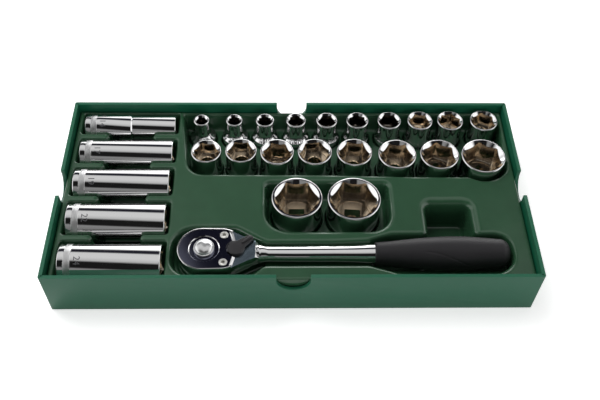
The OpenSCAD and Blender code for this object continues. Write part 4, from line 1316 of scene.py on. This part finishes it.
class SOCKETSET_OT_ratchet_body(bpy.types.Operator):
    """Builds the ratchet's forged head and shank"""

    bl_idname = "socket_set.ratchet_body"
    bl_label = "Ratchet body"

    def execute(self, context):
        bm = head_face(0, 0)
        raise_faces(bm, HEAD_T)
        round_edges(bm, outline_edges(bm, HEAD_T) + outline_edges(bm, 0), 0.7, 3)
        # the nose falls away to the shank
        slice_off(bm, (NOSE_END, 0, HEAD_T - NOSE_DROP), (1, 0, 1))
        body = ratchet_piece(bm, "ratchet_forging", ["ratchet_body"], "ratchet",
                             [finish("chrome"), finish("steel"), finish("slate")])
        combine(body, [ratchet_helper(along_handle(SHANK))], "UNION")
        cutters = []
        for turn in (PLATE_SLANT, -PLATE_SLANT):
            # the head lies lower beyond the plate's ends
            start = PLATE_END - NOSE_LAP
            nose = block((NOSE_END - PLATE_END + NOSE_LAP, 60, 2 * NOSE_DROP),
                         ((start + NOSE_END) / 2, 0, HEAD_T))
            bmesh.ops.rotate(nose, matrix=Matrix.Rotation(turn, 3, "Z"), verts=nose.verts)
            cutters.append(ratchet_helper(nose))
        # the plate's recess, the pawl's pocket, the gear's and the lever's bores
        cutters += [
            ratchet_helper(plate_prism(PLATE_EDGE - 0.1, PLATE_Z, OVER, 0.1)),
            ratchet_helper(block((13.4, 21, 14), (14.7, 0, 10.005))),
            drum(GEAR_R + 0.4, 3, OVER), drum(HUB_R + 0.05, -1, 8),
            drum(LEVER_PIVOT, 3, PLATE_Z + 0.02, LEVER_X),
            drum(LEVER_R + 0.2, PLATE_Z - 0.2, OVER, LEVER_X)]
        combine(body, cutters)
        level = ratchet_origin().z + (HEAD_T - NOSE_DROP) * MM
        for face in body.data.polygons:
            if face.normal.z > 0.999 and abs(face.center.z - level) < 0.01 * MM:
                face.material_index = 2
        with remodelled(body) as bm:
            round_edges(bm, outline_edges(bm, level / MM), 0.3, 2)
        settle_shading(body, 30, flats=True)
        return {"FINISHED"}


class SOCKETSET_OT_cover_plate(bpy.types.Operator):
    """Builds the cover plate and its two screws"""

    bl_idname = "socket_set.cover_plate"
    bl_label = "Cover plate and screws"

    def execute(self, context):
        bm = plate_prism(PLATE_EDGE, PLATE_Z, PLATE_TOP)
        for turn, width in ((PLATE_SLANT, 2.6), (-PLATE_SLANT, 2.0)):
            # a wide chamfer along each slanted end
            end = (PLATE_END * math.cos(turn), PLATE_END * math.sin(turn), HEAD_T - NOSE_DROP)
            slice_off(bm, end, (1.2 * math.cos(turn), 1.2 * math.sin(turn), width))
        plate = ratchet_piece(bm, "cover_plate_dressed", ["cover_plate"], "ratchet",
                              [finish("plate"), finish("chrome")])
        under = PLATE_Z - 2
        # holes for the hub and the lever, each with its chamfer
        cutters = [
            drum(HUB_R + 0.25, under, OVER), drum(LEVER_R + 0.9, under, OVER, LEVER_X),
            drum(HUB_R + 0.15, PLATE_TOP - 0.7, PLATE_TOP + 0.3, flare=1.0),
            drum(LEVER_R + 0.8, PLATE_TOP - 0.4, PLATE_TOP + 0.3, LEVER_X, flare=0.7)]
        # seats for the screws' heads, then holes for their shanks
        for radius, foot in ((3.25, PLATE_Z + 1), (1.35, under)):
            cutters += [drum(radius, foot, OVER, x, y, 48) for x, y in SCREWS]
        combine(plate, cutters)
        top = ratchet_origin().z / MM + PLATE_Z + PLATE_T
        with remodelled(plate) as bm:
            round_edges(bm, outline_edges(bm, top), 0.35, 2)
            for face in bm.faces:
                slant = 0.1 < face.normal.z < 0.98
                upper = face.calc_center_median().z > (top - 1.7) * MM
                face.material_index = 1 if slant and upper else 0
        settle_shading(plate, 30, flats=True)
        bm = bmesh.new()
        head = [(0, 1), (3.2, 1), (3.2, 2.5), (2.9, 2.8), (1.6, 2.8), (1.4, 2.65), (1.2, 0.5),
                (0, 0.5)]
        for x, y in SCREWS:
            part = bmesh.new()
            lathe(part, [(r, PLATE_Z + z) for r, z in head], 48)
            bmesh.ops.create_cone(part, cap_ends=True, segments=24, radius1=1.3 * MM,
                                  radius2=1.3 * MM, depth=10.6 * MM,
                                  matrix=Matrix.Translation((0, 0, 12.0 * MM)))
            bmesh.ops.translate(part, verts=part.verts, vec=Vector((x, y, 0)) * MM)
            add_part(bm, part)
        screws = ratchet_piece(bm, "cover_screws_dressed", ["cover_screws"], "ratchet",
                               [finish("screw")])
        settle_shading(screws, 40)
        return {"FINISHED"}


class SOCKETSET_OT_lever(bpy.types.Operator):
    """Builds the reversing lever with its thumb ridge"""

    bl_idname = "socket_set.lever"
    bl_label = "Reversing lever"

    def execute(self, context):
        bm = bmesh.new()
        lathe(bm, [(0, 1.7), (3.4, 1.7), (3.4, PLATE_Z), (LEVER_R - 0.15, PLATE_Z),
                   (LEVER_R, PLATE_Z + 0.2), (LEVER_R, 20.6), (LEVER_R - 0.5, 21.2),
                   (LEVER_R - 1.6, 21.45), (0, 21.6)], 72)
        bmesh.ops.translate(bm, verts=bm.verts, vec=(LEVER_X * MM, 0, 0))
        lever = ratchet_piece(bm, "lever_dressed", ["reversing_lever"], "lever",
                              [finish("lever")])
        place = (Matrix.Translation(ratchet_origin() + Vector((LEVER_X * MM, 0, 0)))
                 @ Matrix.Rotation(math.radians(LEVER_TURN), 4, "Z"))
        arm = [(-2, -5.2), (LEVER_ARM, -2.4), (LEVER_ARM, 2.4), (-2, 5.2)]
        tip = LEVER_ARM - 0.9
        ridge = [(5.5, -0.9), (tip, -1.3), (tip, 1.3), (5.5, 0.9)]
        # outline, its corners' radii and steps, foot, height and edge rounding
        for corners, radii, steps, foot, height, edge in (
                (arm, [2, 2.3, 2.3, 2], 8, 20.3, 1.2, 0.5),
                (ridge, [0.8, 1.2, 1.2, 0.8], 6, 21.2, 1.3, 0.6)):
            part = bmesh.new()
            outline_face(part, corners, foot, radii, steps)
            raise_faces(part, height)
            round_edges(part, outline_edges(part, foot + height), edge, 3)
            bmesh.ops.transform(part, matrix=place, verts=part.verts)
            combine(lever, [helper(part)], "UNION")
        settle_shading(lever, 32)
        return {"FINISHED"}


class SOCKETSET_OT_button(bpy.types.Operator):
    """Builds the quick-release button with its dome"""

    bl_idname = "socket_set.button"
    bl_label = "Release button"

    def execute(self, context):
        low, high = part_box("release_button")
        z0, z1 = low.z / MM, high.z / MM
        radius = (high.x - low.x) / 2 / MM
        foot = ratchet_origin().z / MM
        barrel, lip, steps = 5.5, 0.9, 12
        edge, dome = z0 + barrel - foot, z1 - z0 - barrel
        profile = [(0, z0 - foot), (radius - 0.3, z0 - foot), (radius, z0 - foot + 0.3),
                   (radius, edge - 0.5), (radius - 0.12, edge - 0.15), (radius - 0.4, edge),
                   (radius - lip, edge)]
        for k in range(1, steps):
            a = math.pi / 2 * k / steps
            profile.append(((radius - lip) * math.cos(a), edge + dome * math.sin(a)))
        profile.append((0, edge + dome))
        bm = bmesh.new()
        lathe(bm, profile, 96)
        button = ratchet_piece(bm, "release_button_dressed", ["release_button"], "button",
                               [finish("satin")])
        settle_shading(button)
        return {"FINISHED"}


def grip_radius(t):
    """Radius of the grip at a share of its length: it swells, then tapers towards the end."""
    swell = math.sin(math.radians(min(90, t * 155))) ** 1.4
    return GRIP_NECK + (GRIP_R - GRIP_NECK) * swell - 8 * max(0, t - 0.68)


def moulded_line(bm):
    """Presses the grip's moulded line in, aslant from the front of the grip to its underside."""
    start, stop, width, deep = 36, 77, 0.55, 0.32
    for v in bm.verts:
        along = v.co.x / MM - GRIP_FROM
        radius = math.hypot(v.co.y, v.co.z - AXIS_H * MM)
        if radius < 5 * MM or not start - 1 < along < stop:
            continue
        around = math.degrees(math.atan2(-v.co.y, v.co.z - AXIS_H * MM))
        wanted = 27.5 + 65.5 * (max(0, along - 37) / 38) ** 1.6
        off = abs(around - wanted) * math.pi / 180 * radius / MM
        fade = min(1, max(0, (along - start) / 4)) * min(1, max(0, (stop - along) / 4))
        depth = deep * math.exp(-(off / width) ** 2) * fade
        v.co.y *= 1 - depth * MM / radius
        v.co.z = AXIS_H * MM + (v.co.z - AXIS_H * MM) * (1 - depth * MM / radius)


class SOCKETSET_OT_grip(bpy.types.Operator):
    """Builds the rubber grip with its moulded line"""

    bl_idname = "socket_set.grip"
    bl_label = "Grip"

    def execute(self, context):
        # a rounded front edge, the swell, and a blunt end from the shoulder on
        shoulder, steps, end_steps, blunt = 0.935, 150, 12, 6.2
        profile = [(GRIP_FROM, 0), (GRIP_FROM, GRIP_NECK - 1.1),
                   (GRIP_FROM + 0.25, GRIP_NECK - 0.45), (GRIP_FROM + 0.9, GRIP_NECK - 0.1)]
        for k in range(2, steps + 1):
            t = shoulder * k / steps
            profile.append((GRIP_FROM + t * GRIP_L, grip_radius(t)))
        last = grip_radius(shoulder)
        reach = (1 - shoulder) * GRIP_L
        for k in range(1, end_steps + 1):
            a = math.pi / 2 * k / end_steps
            profile.append((GRIP_FROM + shoulder * GRIP_L + reach * math.sin(a),
                            last - blunt * (1 - math.cos(a)) ** 0.85))
        profile.append((GRIP_FROM + GRIP_L, 0))
        bm = along_handle(profile, 144)
        moulded_line(bm)
        grip = ratchet_piece(bm, "grip_dressed", ["handle_grip"], "ratchet",
                             [finish("grip")])
        settle_shading(grip, 50)
        return {"FINISHED"}


class SOCKETSET_OT_mechanism(bpy.types.Operator):
    """Gives the ratchet's inner parts their steel"""

    bl_idname = "socket_set.mechanism"
    bl_label = "Mechanism"

    def execute(self, context):
        for name in ("lever_plunger", "pawl", "pawl_pin", "drive_gear", "release_pin",
                     "release_spring", "detent_ball"):
            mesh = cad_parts[name].data
            mesh.materials.clear()
            mesh.materials.append(finish("plate" if name == "drive_gear" else "steel"))
        return {"FINISHED"}


# ---- Panel and registration ----

OPERATORS = (
    SOCKETSET_OT_stage, SOCKETSET_OT_tray, SOCKETSET_OT_insert, SOCKETSET_OT_short_sockets,
    SOCKETSET_OT_deep_sockets, SOCKETSET_OT_ratchet_body, SOCKETSET_OT_cover_plate,
    SOCKETSET_OT_lever, SOCKETSET_OT_button, SOCKETSET_OT_grip, SOCKETSET_OT_mechanism)


class SOCKETSET_PT_panel(bpy.types.Panel):
    bl_idname = "SOCKETSET_PT_panel"
    bl_label = "Socket set"
    bl_space_type = "VIEW_3D"
    bl_region_type = "UI"
    bl_category = "Socket set"

    def draw(self, context):
        layout = self.layout
        for group in (context.scene.socket_set_sizes, context.scene.socket_set_colours):
            for name in group.bl_rna.properties.keys():
                if name not in {"rna_type", "name"}:
                    layout.prop(group, name)
        for operator in OPERATORS:
            layout.operator(operator.bl_idname)


CLASSES = (SocketSetSizes, SocketSetColours) + OPERATORS + (SOCKETSET_PT_panel,)


def register():
    for cls in CLASSES:
        bpy.utils.register_class(cls)
    bpy.types.Scene.socket_set_sizes = bpy.props.PointerProperty(type=SocketSetSizes)
    bpy.types.Scene.socket_set_colours = bpy.props.PointerProperty(type=SocketSetColours)


def unregister():
    del bpy.types.Scene.socket_set_colours
    del bpy.types.Scene.socket_set_sizes
    for cls in reversed(CLASSES):
        bpy.utils.unregister_class(cls)


def plain(bounds):
    """A pair of corners as plain lists of numbers."""
    return [[float(c) for c in corner] for corner in bounds]


def main():
    cad_box = plain(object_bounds())
    register()
    for operator in OPERATORS:
        group, name = operator.bl_idname.split(".")
        getattr(getattr(bpy.ops, group), name)()
    bpy.context.view_layer.update()
    {"cad": cad_box, "visual": plain(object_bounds())}


if __name__ == "__main__":
    main()
